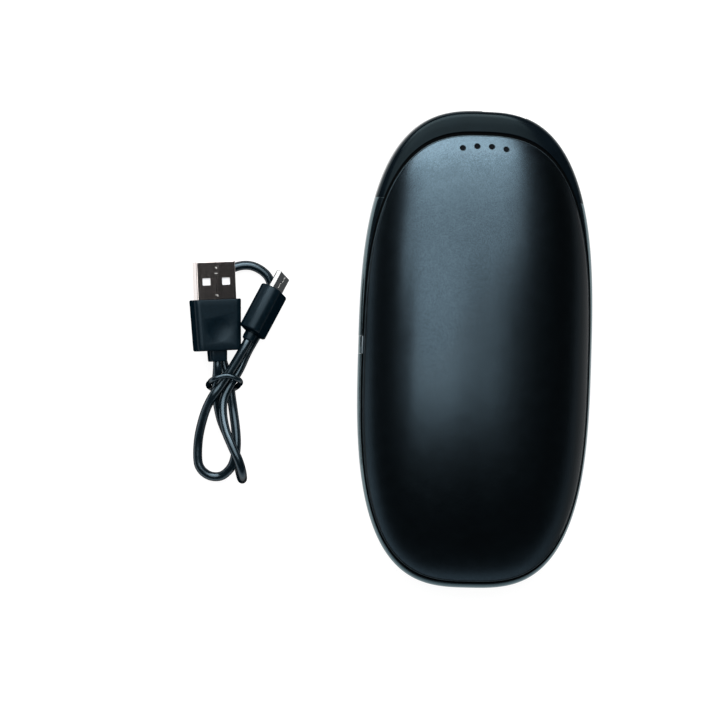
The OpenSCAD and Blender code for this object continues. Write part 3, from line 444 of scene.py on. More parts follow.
def material(name, colour, rough, metal=0.0, vary=0.12, scale=900.0, bump=0.00001, bump_scale=6000.0,
             stretch=(1, 1, 1), rough_vary=0.05, ior=1.5, coat=0.0, tint=None):
    """A Principled material with mottled colour, roughness and a fine raised grain."""
    mat = bpy.data.materials.new(name)
    mat.use_nodes = True
    nodes, links = mat.node_tree.nodes, mat.node_tree.links
    shader = nodes["Principled BSDF"]
    shader.inputs["Metallic"].default_value = metal
    shader.inputs["IOR"].default_value = ior
    shader.inputs["Coat Weight"].default_value = coat
    shader.inputs["Coat Roughness"].default_value = 0.08
    if tint:
        shader.inputs["Specular Tint"].default_value = (*tint, 1)
    where = nodes.new("ShaderNodeTexCoord")
    mapping = nodes.new("ShaderNodeMapping")
    mapping.inputs["Scale"].default_value = stretch
    links.new(where.outputs["Object"], mapping.inputs["Vector"])

    mottle = nodes.new("ShaderNodeTexNoise")
    mottle.inputs["Scale"].default_value = scale
    mottle.inputs["Detail"].default_value = 4
    links.new(mapping.outputs["Vector"], mottle.inputs["Vector"])
    ramp = nodes.new("ShaderNodeValToRGB")
    ramp.color_ramp.elements[0].position = 0.3
    ramp.color_ramp.elements[1].position = 0.7
    ramp.color_ramp.elements[0].color = (*[c * (1 - vary) for c in colour], 1)
    ramp.color_ramp.elements[1].color = (*[min(1, c * (1 + vary)) for c in colour], 1)
    links.new(mottle.outputs["Fac"], ramp.inputs["Fac"])
    links.new(ramp.outputs["Color"], shader.inputs["Base Color"])

    shine = nodes.new("ShaderNodeMapRange")
    shine.inputs["To Min"].default_value = max(0.02, rough - rough_vary)
    shine.inputs["To Max"].default_value = rough + rough_vary
    links.new(mottle.outputs["Fac"], shine.inputs["Value"])
    links.new(shine.outputs["Result"], shader.inputs["Roughness"])

    grain = nodes.new("ShaderNodeTexNoise")
    grain.inputs["Scale"].default_value = bump_scale
    grain.inputs["Detail"].default_value = 2
    links.new(mapping.outputs["Vector"], grain.inputs["Vector"])
    raised = nodes.new("ShaderNodeBump")
    raised.inputs["Distance"].default_value = bump
    raised.inputs["Strength"].default_value = 1.0
    links.new(grain.outputs["Fac"], raised.inputs["Height"])
    links.new(raised.outputs["Normal"], shader.inputs["Normal"])
    return mat


def flake_paint(name, colour, dark, rough):
    """Black lacquer full of fine metal flakes: bright face on, dark where the surface turns away."""
    mat = material(name, colour, rough, metal=1.0, vary=0.05, scale=260.0, bump=0.000006, bump_scale=5200.0,
                   rough_vary=0.02)
    nodes, links = mat.node_tree.nodes, mat.node_tree.links
    colour_socket = nodes["Principled BSDF"].inputs["Base Color"]
    mottled = colour_socket.links[0].from_socket
    flakes = nodes.new("ShaderNodeTexVoronoi")
    flakes.inputs["Scale"].default_value = FLAKES
    links.new(nodes["Texture Coordinate"].outputs["Object"], flakes.inputs["Vector"])
    split = nodes.new("ShaderNodeSeparateColor")
    links.new(flakes.outputs["Color"], split.inputs["Color"])
    level = nodes.new("ShaderNodeMapRange")
    level.inputs["To Min"].default_value, level.inputs["To Max"].default_value = FLAKE_LEVELS
    links.new(split.outputs["Red"], level.inputs["Value"])
    glitter = nodes.new("ShaderNodeVectorMath")
    glitter.operation = "SCALE"
    links.new(mottled, glitter.inputs[0])
    links.new(level.outputs["Result"], glitter.inputs["Scale"])
    turned = by_angle(mat, *FLAKE_TURN, 0.0, 1.0)
    links.new(mix_colour(mat.node_tree, turned, glitter.outputs["Vector"], (*dark, 1)), colour_socket)
    return mat


def gloss_plastic(name):
    """Polished black plastic."""
    return material(name, (0.002, 0.004, 0.006), 0.18, vary=0.3, scale=120.0, bump=0.000001, bump_scale=900.0,
                    rough_vary=0.03, ior=1.8, tint=(0.64, 0.92, 1))


def formed_steel(name, colour, rough, vary):
    """Thin metal, drawn along Y; its near-black copy is painted shade."""
    return material(name, colour, rough, metal=1.0, vary=vary, scale=500.0, bump=0.000001, bump_scale=3000.0,
                    stretch=(1, 0.08, 1), rough_vary=0.03)


MATERIALS = {
    "metal_black": flake_paint("metal_black", (0.05, 0.075, 0.093), (0.002, 0.005, 0.007), 0.26),
    "metal_edge": material("metal_edge", (0.045, 0.066, 0.078), 0.34, metal=1.0, vary=0.2, scale=700.0),
    # Near-black matte material for the grooves and the plug's seam: painted shade, a dark sheet where those
    # recesses lie in shadow
    "painted_shade_black": material("painted_shade_black", (0.0006, 0.0015, 0.002), 0.7, vary=0.3, scale=900.0, ior=1.15),
    "light_black": material("light_black", (0.001, 0.003, 0.006), 0.5, vary=0.3, scale=900.0, ior=1.2),
    "cap_black": gloss_plastic("cap_black"),
    "gloss_black": gloss_plastic("gloss_black"),
    "button_grey": material("button_grey", (0.13, 0.165, 0.19), 0.42, vary=0.06, scale=1500.0),
    "satin_black": material("satin_black", (0.0015, 0.006, 0.01), 0.32, vary=0.25, scale=1400.0, bump=0.00001,
                            bump_scale=7000.0, tint=(0.62, 0.85, 1), ior=1.5, rough_vary=0.03),
    "steel": formed_steel("steel", (0.75, 0.69, 0.67), 0.13, 0.08),
    # The small plug's tip is one steel in two copies: a near-black copy as painted shade on its top and other
    # faces, a pale copy as painted light on its left side
    "steel_painted_shade": formed_steel("steel_painted_shade", (0.006, 0.01, 0.013), 0.2, 0.1),
    "steel_painted_light": material("steel_painted_light", (0.8, 0.82, 0.82), 0.5, metal=0.2, vary=0.05, scale=500.0),
    # Light matte colour for the plugs' small raised marks: painted glints
    "painted_glint_white": material("painted_glint_white", (0.8, 0.8, 0.78), 0.5, vary=0.1, scale=2000.0),
    "cord_black": material("cord_black", (0.0015, 0.005, 0.008), 0.25, vary=0.3, scale=500.0, bump=0.000012,
                           bump_scale=2200.0, tint=(0.62, 0.85, 1), ior=1.65, rough_vary=0.03),
    "board_green": material("board_green", (0.02, 0.16, 0.07), 0.3, vary=0.25, scale=700.0),
    "cell_green": material("cell_green", (0.10, 0.36, 0.30), 0.28, vary=0.08, scale=300.0),
    "nickel": material("nickel", (0.66, 0.64, 0.60), 0.3, metal=1.0, vary=0.1, stretch=(1, 0.1, 1)),
    "film_amber": material("film_amber", (0.62, 0.30, 0.05), 0.3, vary=0.2, scale=400.0, coat=0.4),
    "foam_grey": material("foam_grey", (0.12, 0.125, 0.13), 0.9, vary=0.35, scale=1600.0, bump=0.00008,
                          bump_scale=1800.0),
    "wire": material("wire", (0.03, 0.03, 0.032), 0.45, vary=0.2, scale=900.0),
    "plastic_white": material("plastic_white", (0.80, 0.82, 0.84), 0.4, vary=0.04, scale=900.0),
    "gold": material("gold", (0.75, 0.53, 0.2), 0.25, metal=1.0, vary=0.1, scale=900.0),
}

# Gloss that changes with the angle, less for the end cap than for the band: start and end of the change,
# and the level face on and edge on
GLOSS_BY_ANGLE = {
    "gloss_black": (0.05, 0.18, 0.075, 0.98),
    "cap_black": (0.06, 0.3, 0.06, 0.16),
    "satin_black": (0.15, 0.5, 0.31, 0.0),
    "cord_black": (0.2, 0.6, 0.8, 0.0),
}
for name, change in GLOSS_BY_ANGLE.items():
    tree = MATERIALS[name].node_tree
    gloss = tree.nodes["Principled BSDF"].inputs["Specular IOR Level"]
    tree.links.new(by_angle(MATERIALS[name], *change), gloss)

# Materials of the pieces that have more than one, with the numbers of the second and later ones
# The near-black material in these lists is painted shade for the grooves and the seam
SHELL_LOOK = [MATERIALS["metal_black"], MATERIALS["metal_edge"], MATERIALS["painted_shade_black"]]
SHELL_EDGE, SHELL_PAINTED_SHADE = 1, 2
BAND_LOOK = [MATERIALS["gloss_black"], MATERIALS["painted_shade_black"]]
CAP_LOOK = [MATERIALS["cap_black"], MATERIALS["painted_shade_black"]]
BAND_PAINTED_SHADE = 1
BUTTON_LOOK = [MATERIALS["button_grey"], MATERIALS["gloss_black"]]
BUTTON_BLACK = 1
PLUG_LOOK = [MATERIALS["steel"], MATERIALS["painted_shade_black"], MATERIALS["painted_glint_white"]]
SEAM_PAINTED_SHADE, PLUG_GLINT = 1, 2
SMALL_LOOK = [MATERIALS["steel_painted_shade"], MATERIALS["painted_glint_white"], MATERIALS["steel_painted_light"]]
SMALL_GLINT, SMALL_PAINTED_LIGHT = 1, 2


# Shells

def half_shell(name, limit, up):
    """Upper (up 1) or lower (up -1) shell: skin no higher than limit, rounded rim, skirt and inner face."""
    def ring(share, inset=0.0, top=CROWN):
        return [(x, y, min(dome(x, y, inset), top)) for x, y in (rim_part(t, share) for t in TURNS)]

    rings = [ring(s, top=limit) for s in SKIN_SHARES]
    rings.append([(x, y, min(dome(x, y), limit)) for x, y in (rim(t, CHAMFER + RIM_SUPPORT) for t in TURNS)])
    edge_ring = len(rings)
    for k in range(CHAMFER_STEPS + 1):
        angle = math.pi / 2 * k / CHAMFER_STEPS
        inset = CHAMFER * (1 - math.sin(angle))
        drop = CHAMFER * (1 - math.cos(angle))
        rings.append([(*rim(t, inset), rim_z(t) - drop) for t in TURNS])
    rings.append([(*rim(t), ledge_z(t)) for t in TURNS])
    rings.append([(*rim_part(t, RIM_SHARE), ledge_z(t)) for t in TURNS])
    rings.append(ring(RIM_SHARE, WALL))
    rings += [ring(s, WALL) for s in INNER_SHARES]
    points, faces = skin(rings, (0, EDGE_MID, min(dome(0, EDGE_MID), limit)), (0, EDGE_MID, CROWN - WALL))
    points = [(x, y, MID_Z + up * z) for x, y, z in points]
    obj = mesh_from(name, points, faces)
    for polygon in obj.data.polygons:
        ring_number = polygon.index // RAYS
        if edge_ring <= ring_number < edge_ring + CHAMFER_STEPS:
            polygon.material_index = SHELL_EDGE
        # The skirt from the rim down to the ledge gets the painted shade
        elif ring_number == edge_ring + CHAMFER_STEPS:
            polygon.material_index = SHELL_PAINTED_SHADE
    return obj


def light_place(i):
    """Middle of one status light, on an arc about the axis."""
    angle = (i - (LIGHTS - 1) / 2) * LIGHT_PITCH / LIGHT_ARC
    return LIGHT_ARC * math.sin(angle), LIGHT_TOP_Y - LIGHT_ARC * (1 - math.cos(angle))


def circle(radius, steps=40, start=0.0):
    """Points round a circle."""
    turns = [2 * math.pi * k / steps + start for k in range(steps)]
    return [(radius * math.cos(turn), radius * math.sin(turn)) for turn in turns]


def button_pocket():
    """Block that cuts the button's pocket."""
    half_l, half_h = BUTTON_HALF_L + POCKET_GAP, BUTTON_HALF_H + POCKET_GAP
    return block("pocket", (OUTSIDE_X, BUTTON_Y - half_l, MID_Z - half_h),
                 (POCKET_X, BUTTON_Y + half_l, MID_Z + half_h))


def stem_slot():
    """Block that cuts the slot for the button's stem."""
    half_l, half_h = STEM_HALF_L + BUTTON_GAP, STEM_HALF_H + BUTTON_GAP
    return block("stem_slot", (OUTSIDE_X, BUTTON_Y - half_l, MID_Z - half_h),
                 (STEM_SLOT_X, BUTTON_Y + half_l, MID_Z + half_h))


top_shell = half_shell("top_shell_skin", CROWN, 1)
holes = []
flares = []
for i in range(LIGHTS):
    x, y = light_place(i)
    z = dome(x, y)
    slope_x = dome(x - SLOPE_STEP, y) - dome(x + SLOPE_STEP, y)
    slope_y = dome(x, y - SLOPE_STEP) - dome(x, y + SLOPE_STEP)
    normal = Vector((slope_x, slope_y, 2 * SLOPE_STEP)).normalized()
    tilt = Vector((0, 0, 1)).rotation_difference(normal).to_matrix().to_4x4()
    start = HOLE_TURN + HOLE_TURN_STEP * i
    holes.append(prism("hole", circle(LIGHT_R, HOLE_SIDES, start), 0, CROWN,
                       Matrix.Translation((x, y, MID_Z))))
    flares.append(prism("flare", circle(LIGHT_R, FLARE_SIDES, start), FLARE_LOW, LIGHT_FLARE_DEPTH / 2,
                        Matrix.Translation((x, y, MID_Z + z)) @ tilt, LIGHT_FLARE, LIGHT_FLARE_DEPTH))
carve(top_shell, [button_pocket()])
carve(top_shell, flares, cut_material=SHELL_EDGE)
carve(top_shell, holes)
dress(top_shell, SHELL_LOOK, "warmer", ["top_shell"], sharp=28)

bottom_shell = half_shell("bottom_shell_skin", MID_Z, -1)
carve(bottom_shell, [button_pocket()])
dress(bottom_shell, SHELL_LOOK, "warmer", ["bottom_shell"], sharp=28)


# Gloss band and end cap

def band_section(turn):
    """Closed cross-section of the band at one turn."""
    outer, edge, inner = oval(HALF_W, HALF_L, turn), lip(turn), rim(turn, FRAME_WALL)
    height, ledge = lip_z(turn), ledge_z(turn)
    bulge = BULGE + FRONT_BULGE * max(0.0, math.sin(turn)) ** 2

    def at(share):
        k = abs(share) ** bulge
        return (outer[0] + (edge[0] - outer[0]) * k, outer[1] + (edge[1] - outer[1]) * k, height * share)

    lip_top = (*edge, height - EDGE_SHARE * LIP_SOFT)
    before_lip = (*at(LIP_SHARE)[:2], height)
    soft = tuple((1 - LIP_BLEND) * a + LIP_BLEND * b for a, b in zip(lip_top, before_lip))
    upper = [at(s) for s in BAND_SHARES] + [soft, (*edge, height - LIP_SOFT), (*edge, ledge), (*inner, ledge)]
    lower = [(x, y, -z) for x, y, z in reversed(upper[1:])]
    return [(x, y, MID_Z + z) for x, y, z in upper + lower]


def groove_shade_strips():
    """Numbers of the strips of a section that line the groove, above and below, which get the painted shade.
    """
    ledge = len(BAND_SHARES) + 2
    return ledge - 1, ledge, ledge + 2, ledge + 3


def band_piece(name, side):
    """The band on one side of the seam: side -1 is the frame, side 1 the end cap."""
    sections = [band_section(t) for t in TURNS]
    obj = skinned(name, sections, around=True)
    for polygon in obj.data.polygons:
        # The strips in the groove get the painted shade
        if polygon.index % len(sections[0]) in groove_shade_strips():
            polygon.material_index = BAND_PAINTED_SHADE
    bm = bmesh.new()
    bm.from_mesh(obj.data)
    edge_y = (SEAM_Y + side * SEAM_GAP / 2) * MM
    soft_y = edge_y + side * SEAM_SOFT * MM
    for y, clear in ((soft_y, False), (edge_y, True)):
        bmesh.ops.bisect_plane(bm, geom=bm.verts[:] + bm.edges[:] + bm.faces[:], dist=1e-7,
                               plane_co=(0, y, 0), plane_no=(0, -side, 0), clear_outer=clear)
    bm.normal_update()
    rim_edges = [e for e in bm.edges if e.is_boundary]
    ends = {v for e in rim_edges for v in e.verts}
    for v in ends:
        outward = Vector((v.co.x, 0, 0)).normalized()
        if v.normal.dot(outward) > SEAM_FACING and abs(v.co.x) > SEAM_SIDE_X * MM:
            v.co.x -= SEAM_SINK * MM * outward.x
    bmesh.ops.holes_fill(bm, edges=rim_edges, sides=0)
    bmesh.ops.recalc_face_normals(bm, faces=bm.faces)
    bm.to_mesh(obj.data)
    bm.free()
    return obj


def lug_piece(y, inset, side):
    """Screw lug: a ring round the screw hole and a bar to the wall."""
    x = side * (wall_x(y) - inset)
    reach = side * (inset + LUG_BAR_SINK)
    rings = []
    for r, z in ((LUG_R, LUG_LOW), (LUG_R, LUG_HIGH), (LUG_HOLE_R, LUG_HIGH), (LUG_HOLE_R, LUG_LOW)):
        rings.append([(x + px, y + py, MID_Z + z) for px, py in circle(r)])
    ring = skinned("lug", rings, around=True)
    near, far = sorted((x + math.copysign(LUG_R * LUG_BAR_START, reach), x + reach))
    bar = block("lug_bar", (near, y - LUG_R, MID_Z + LUG_LOW), (far, y + LUG_R, MID_Z + LUG_HIGH))
    join_into(ring, [bar])
    return ring


frame_band = band_piece("frame_band", -1)
carve(frame_band, [button_pocket(), stem_slot()])
join_into(frame_band, [lug_piece(y, inset, side) for y, inset in LUGS for side in (-1, 1)])
dress(frame_band, BAND_LOOK, "warmer", ["mid_frame"])

end_cap = band_piece("end_cap_band", 1)
cap_inside = [oval(HALF_W - CAP_WALL, HALF_L - CAP_WALL, t) for t in TURNS]
pocket_outline = [(CAP_POCKET_HALF_W, CAP_POCKET_Y)]
pocket_outline += [(x, y) for x, y in cap_inside if y > 0 and abs(x) <= CAP_POCKET_HALF_W]
pocket_outline += [(-CAP_POCKET_HALF_W, CAP_POCKET_Y)]
cutters = [prism("cap_pocket", pocket_outline, MID_Z - CAP_POCKET_HALF_H, MID_Z + CAP_POCKET_HALF_H)]
turn_up = Matrix.Rotation(math.radians(-90), 4, "X")
for middle, width, low, high in (USB_OPENING, MICRO_OPENING):
    outline = [(x, -z) for x, z in rounded(width / 2, (high - low) / 2, OPENING_CORNER)]
    place = Matrix.Translation((middle, 0, MID_Z + (low + high) / 2)) @ turn_up
    cutters.append(prism("opening", outline, *OPENING_Y, place))
    cutters.append(prism("opening_edge", outline, *OPENING_EDGE_Y, place, OPENING_FLARE, OPENING_FLARE))
carve(end_cap, cutters)
dress(end_cap, CAP_LOOK, "warmer", ["end_cap"])


# Side button

def button_piece():
    """Face that follows the band with soft ends, a stem and a flange."""
    profile = []
    for k in range(BUTTON_STEPS + 1):
        z = BUTTON_HALF_H * (2 * k / BUTTON_STEPS - 1)
        x = -HALF_W + BUTTON_SINK + (HALF_W - LIP_A) * (abs(z) / lip_z(math.pi)) ** BULGE
        profile.append((x, z))
    rim_x = profile[-1][0] + BUTTON_RIM
    profile += [(rim_x, BUTTON_HALF_H), (FACE_IN_X, BUTTON_HALF_H), (FACE_IN_X, -BUTTON_HALF_H),
                (rim_x, -BUTTON_HALF_H)]
    end = [(BUTTON_HALF_L, BUTTON_SOFT), (BUTTON_HALF_L - BUTTON_SOFT * EDGE_SHARE, BUTTON_SOFT * EDGE_SHARE),
           (BUTTON_HALF_L - BUTTON_SOFT, 0)]
    rings = []
    for y, inset in [(-y, inset) for y, inset in end] + [(0, -BUTTON_SWELL)] + end[::-1]:
        narrower = 1 - inset / BUTTON_HALF_H
        rings.append([(x + (inset if x < FACE_IN_X else 0), BUTTON_Y + y, MID_Z + z * narrower)
                      for x, z in profile])
    points, faces = skin(rings)
    n = len(profile)
    faces += [tuple(range(n)), tuple(range(len(points) - n, len(points)))]
    face = mesh_from("power_button_face", points, faces)
    for polygon in face.data.polygons:
        place = polygon.center / MM
        if abs(place.z - MID_Z) < BUTTON_HALF_H - BUTTON_EDGE or place.x > rim_x:
            polygon.material_index = BUTTON_BLACK
    stem = block("stem", (FACE_IN_X, BUTTON_Y - STEM_HALF_L, MID_Z - STEM_HALF_H),
                 (FLANGE_X, BUTTON_Y + STEM_HALF_L, MID_Z + STEM_HALF_H))
    flange_half_l, flange_half_h = STEM_HALF_L + FLANGE_OVER, STEM_HALF_H + FLANGE_OVER
    flange = block("flange", (FLANGE_X, BUTTON_Y - flange_half_l, MID_Z - flange_half_h),
                   (FLANGE_X + FLANGE_T, BUTTON_Y + flange_half_l, MID_Z + flange_half_h))
    join_into(face, [stem, flange])
    return face


dress(button_piece(), BUTTON_LOOK, "button", ["power_button"], sharp=30)


# Wide plug

plug_place = (Matrix.Translation(PLUG_PLACE) @ Matrix.Rotation(math.radians(PLUG_ANGLE), 4, "Z")
              @ Matrix.Rotation(math.radians(PLUG_LEAN), 4, "Y"))


def tube_rings(w, h, r, y_low, y_high, wall, edge):
    """Rings of a rectangular tube along Y, open at both ends, with a softened front edge."""
    inner = (w - wall, h - wall, max(LEAST_CORNER, r - wall))
    part = edge * EDGE_SHARE
    return loft_y([(y_low, w, h, r), (y_high - edge - PLUG_SUPPORT, w, h, r), (y_high - edge, w, h, r),
                   (y_high - part, w - part, h - part, r), (y_high, w - edge, h - edge, r), (y_high, *inner),
                   (y_low, *inner)])


def ridges(paths, width, low, high, place, look):
    """Low raised lines along paths of (x, y) points, one closed block for each stretch."""
    blocks = []
    for (ax, ay), (bx, by) in [stretch for path in paths for stretch in zip(path, path[1:])]:
        way = Vector((bx - ax, by - ay)).normalized()
        side = Vector((-way.y, way.x)) * width / 2
        a = Vector((ax, ay)) - way * width / 2
        b = Vector((bx, by)) + way * width / 2
        outline = [tuple(a + side), tuple(a - side), tuple(b - side), tuple(b + side)]
        blocks.append(prism("ridge", outline, low, high, place))
    for raised in blocks:
        for polygon in raised.data.polygons:
            polygon.material_index = look
    return blocks


tube = tube_rings(PLUG_W / 2, PLUG_H / 2, PLUG_CORNER, -PLUG_SUNK, PLUG_L, METAL_T, PLUG_EDGE)
plug_shell = skinned("wide_plug_shell", tube, plug_place, around=True)
windows = []
for side in (-1, 1):
    window = rounded(WINDOW_W / 2, WINDOW_L / 2, WINDOW_CORNER)
    outline = [(side * WINDOW_X + x, WINDOW_Y + y) for x, y in window]
    windows.append(prism("window", outline, -PLUG_H, PLUG_H, plug_place))
seam_low, seam_high = PLUG_SEAM_Y
seam = block("seam", (-PLUG_SEAM_HALF_W, seam_low, PLUG_H / 2 - PLUG_SEAM_DEPTH),
             (PLUG_SEAM_HALF_W, seam_high, PLUG_H), plug_place)
carve(plug_shell, windows)
# The seam's cut faces get the painted shade
carve(plug_shell, [seam], cut_material=SEAM_PAINTED_SHADE)
# The raised light marks on the shell's top are painted glints
join_into(plug_shell, ridges(PLUG_MARKS, PLUG_MARK_W, PLUG_H / 2 - MARK_DEPTH, PLUG_H / 2 + PLUG_MARK_RISE,
                             plug_place, PLUG_GLINT))
dress(plug_shell, PLUG_LOOK, "charging_cable", ["cable_usb_a_shell"], sharp=25)


def grip_rings():
    """Rings of the wide plug's grip, which narrows to the rear."""
    sections = edge_sections(0, -1, GRIP_W / 2, GRIP_H / 2, GRIP_CORNER, GRIP_FRONT_EDGE)
    for k in range(1, GRIP_PARTS):
        share = k / GRIP_PARTS
        width = GRIP_W + (GRIP_REAR_W - GRIP_W) * share
        sections.append((-GRIP_L * share, width / 2, GRIP_H / 2, GRIP_CORNER))
    sections += edge_sections(-GRIP_L, 1, GRIP_REAR_W / 2, GRIP_H / 2, GRIP_CORNER, GRIP_REAR_EDGE)[::-1]
    return loft_y(sections)


def dimple_ball():
    """Ball that cuts the dimple into the top of the wide plug's grip."""
    ball_r = (DIMPLE_R ** 2 + DIMPLE_DEPTH ** 2) / (2 * DIMPLE_DEPTH)
    middle_z = GRIP_H / 2 + ball_r - DIMPLE_DEPTH
    rings = []
    for k in range(1, BALL_RINGS):
        turn = math.pi * k / BALL_RINGS
        rings.append([(x * math.sin(turn), DIMPLE_Y + y * math.sin(turn), middle_z + ball_r * math.cos(turn))
                      for x, y in circle(ball_r, BALL_SIDES)])
    return skinned("ball", rings, plug_place, (0, DIMPLE_Y, middle_z + ball_r),
                   (0, DIMPLE_Y, middle_z - ball_r))


def sleeve_rings():
    """Rings of the short sleeve round the cord behind the wide plug's grip."""
    half_w, half_h = SLEEVE_W / 2, SLEEVE_H / 2
    sections = [(-GRIP_L + SLEEVE_SUNK, half_w, half_h, SLEEVE_CORNER),
                (-GRIP_L - SLEEVE_STRAIGHT, half_w, half_h, SLEEVE_CORNER)]
    sections += edge_sections(-GRIP_L - SLEEVE_L, 1, half_w - SLEEVE_TAPER, half_h - SLEEVE_TAPER,
                              SLEEVE_CORNER, SLEEVE_EDGE)[::-1]
    return loft_y(sections)


wide_grip = closed_along_y("wide_plug_grip", grip_rings(), plug_place)
carve(wide_grip, [dimple_ball()])
join_into(wide_grip, [closed_along_y("sleeve", sleeve_rings(), plug_place)])
dress(wide_grip, [MATERIALS["satin_black"]], "charging_cable", ["cable_usb_a_grip"], sharp=32)


# Small plug

small_place = (Matrix.Translation(SMALL_PLACE) @ Matrix.Rotation(math.radians(SMALL_ANGLE), 4, "Z")
               @ Matrix.Rotation(math.radians(SMALL_PITCH), 4, "X")
               @ Matrix.Rotation(math.radians(SMALL_ROLL), 4, "Y"))
half_w, half_h = SMALL_W / 2, SMALL_H / 2
sections = edge_sections(0, -1, half_w, half_h, SMALL_CORNER, SMALL_EDGE)
sections.append((-SMALL_L / 2, half_w, half_h, SMALL_CORNER))
sections += edge_sections(-SMALL_L, 1, half_w, half_h, SMALL_CORNER, SMALL_EDGE)[::-1]
small_grip = closed_along_y("small_plug_grip", loft_y(sections), small_place)
collar = [[(x, ahead - SMALL_L, z) for x, z in circle(radius)] for ahead, radius in COLLAR]
join_into(small_grip, [closed_along_y("collar", collar, small_place)])
dress(small_grip, [MATERIALS["satin_black"]], "charging_cable", ["cable_micro_grip"], sharp=32)


def small_profile(w, h):
    """Outline with two bevelled lower corners, about the middle."""
    bevel = h / TIP_BEVELS
    return [(-w / 2, h / 2), (-w / 2, bevel - h / 2), (bevel - w / 2, -h / 2), (w / 2 - bevel, -h / 2),
            (w / 2, bevel - h / 2), (w / 2, h / 2)]


rings = []
for y, inset in ((-TIP_SUNK, 0), (TIP_L - TIP_EDGE_L, 0), (TIP_L, TIP_EDGE), (TIP_L, METAL_T),
                 (-TIP_SUNK, METAL_T)):
    rings.append([(x, y, z) for x, z in small_profile(TIP_W - 2 * inset, TIP_H - 2 * inset)])
small_shell = skinned("small_plug_shell", rings, small_place, around=True)
# The raised light marks on the tip's top are painted glints
join_into(small_shell, ridges(SMALL_MARKS, SMALL_MARK_W, TIP_H / 2 - MARK_DEPTH, TIP_H / 2 + SMALL_MARK_RISE,
                              small_place, SMALL_GLINT))
# Faces of the tip that turn to the left get the pale copy: painted light on that side
small_left = small_place.to_3x3() @ Vector((-1, 0, 0))
for polygon in small_shell.data.polygons:
    if polygon.material_index == 0 and polygon.normal.dot(small_left) > LEFT_FACING:
        polygon.material_index = SMALL_PAINTED_LIGHT
dress(small_shell, SMALL_LOOK, "charging_cable", ["cable_micro_shell"], sharp=25)


# Cord and tie

def smooth_line(route, step):
    """Points about one step apart on a smooth curve through the route's points."""
    points = [Vector(p) for p in route]
    ends = [2 * points[0] - points[1]] + points + [2 * points[-1] - points[-2]]
    out = []
    for a, b, c, d in zip(ends, ends[1:], ends[2:], ends[3:]):
        parts = max(1, round((c - b).length / step))
        for k in range(parts):
            t = k / parts
            out.append((2 * b + (c - a) * t + (2 * a - 5 * b + 4 * c - d) * t * t
                        + (3 * b - a - 3 * c + d) * t ** 3) / 2)
    return out + [points[-1]]


cord_line = smooth_line(CORD_ROUTE, CORD_STEP)
curve = bpy.data.curves.new("cord", "CURVE")
curve.dimensions = "3D"
curve.bevel_depth = CORD_D / 2 * MM
curve.bevel_resolution = CORD_ROUNDING
curve.use_fill_caps = True
spline = curve.splines.new("POLY")
spline.points.add(len(cord_line) - 1)
for point, place in zip(spline.points, cord_line):
    point.co = (*(place * MM), 1)
    point.radius = 1
spline.use_smooth = True
cord = new_object("cord", curve)
cord.data.materials.append(MATERIALS["cord_black"])
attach(cord, "charging_cable")
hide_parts("cable_cord")


def tie_point(turn):
    """Point on the middle line of the tie, a rounded loop that bows forwards at its ends."""
    c, s = math.cos(turn), math.sin(turn)
    k = (abs(c) ** TIE_POWER + abs(s) ** TIE_POWER) ** (1 / TIE_POWER)
    return Vector(TIE_CENTRE) + Vector((TIE_HALF_W * c / k, TIE_BOW * s * abs(s), TIE_HALF_H * s / k))


tie_rings = []
side = Vector((0, -TIE_HALF_H, TIE_BOW)).normalized()
around = [2 * math.pi * k / TIE_SIDES for k in range(TIE_SIDES)]
for i in range(TIE_STEPS):
    turn = 2 * math.pi * i / TIE_STEPS
    way = (tie_point(turn + TIE_TURN_STEP) - tie_point(turn - TIE_TURN_STEP)).normalized()
    out = side.cross(way).normalized()
    centre = tie_point(turn)
    tie_rings.append([tuple(centre + TIE_R * (side * math.cos(a) + out * math.sin(a))) for a in around])
tie = skinned("tie", tie_rings, around=True)
dress(tie, [MATERIALS["cord_black"]], "charging_cable", ["cable_tie"], sharp=60)


# Carried-over CAD nodes take the material of their slot, apart from the dark light guide

slots = {part["node"]: part["material_slot"] for part in frame["record"]["subparts"]}
slots["light_guide"] = "light_black"
for node, obj in frame["nodes"].items():
    for material_slot in obj.material_slots:
        material_slot.material = MATERIALS[slots[node]]


# Stage, light and camera: half size and height of the floor in millimetres, its grey levels and its glow,
# the plain ambient grey, and the glossy surroundings, which are bright low down and dark above
FLOOR_HALF, FLOOR_Z = 3000, -0.05
FLOOR_PALE, FLOOR_SHADE, FLOOR_GLOW = (0.8, 0.8, 0.8, 1), (0.2, 0.2, 0.2, 1), 0.9
WHITE, AMBIENT = (1, 1, 1, 1), (0.5, 0.5, 0.5, 1)
HORIZON, CEILING = (0.58, 0.62, 0.66, 1), (0.006, 0.0065, 0.007, 1)
HORIZON_TILT, CEILING_START = (0.0, 0.36, 1.0), 0.13

# Soft panels over the object, in metres: left, right, front and rear side, and brightness, where 1 is white
LAMP_HEIGHT = 1.0
LAMPS = {
    "front_panel": (-0.53, 0.135, -0.05, 0.16, 2.5),
    "front_wing": (0.135, 0.2, -0.05, 0.16, 0.9),
    "middle_wing": (0.31, 0.45, 0.22, 0.6, 1.3),
    "left_wing": (-0.95, -0.6, 0.12, 1.0, 1.9),
    "middle_panel": (-0.58, 0.31, 0.16, 0.5, 2.05),
    "rear_panel": (-0.64, 0.48, 0.5, 0.95, 3.15),
    "far_panel": (-1.2, 0.55, 0.95, 1.75, 6.5),
}

# Camera: lean and roll in degrees, target in millimetres, distance in metres, focal length and width of the
# image in pixels, and width of the sensor in millimetres
CAMERA_LEAN, CAMERA_ROLL = 8.2, 1.632
CAMERA_TARGET, CAMERA_DISTANCE = (-34.45, -4.07, 14), 1.5
FOCAL_PIXELS, IMAGE_PIXELS, SENSOR = 5068.5, 720, 36


def greater(tree, a, b):
    """Output with the greater of two outputs."""
    node = tree.nodes.new("ShaderNodeMath")
    node.operation = "MAXIMUM"
    tree.links.new(a, node.inputs[0])
    tree.links.new(b, node.inputs[1])
    return node.outputs["Value"]


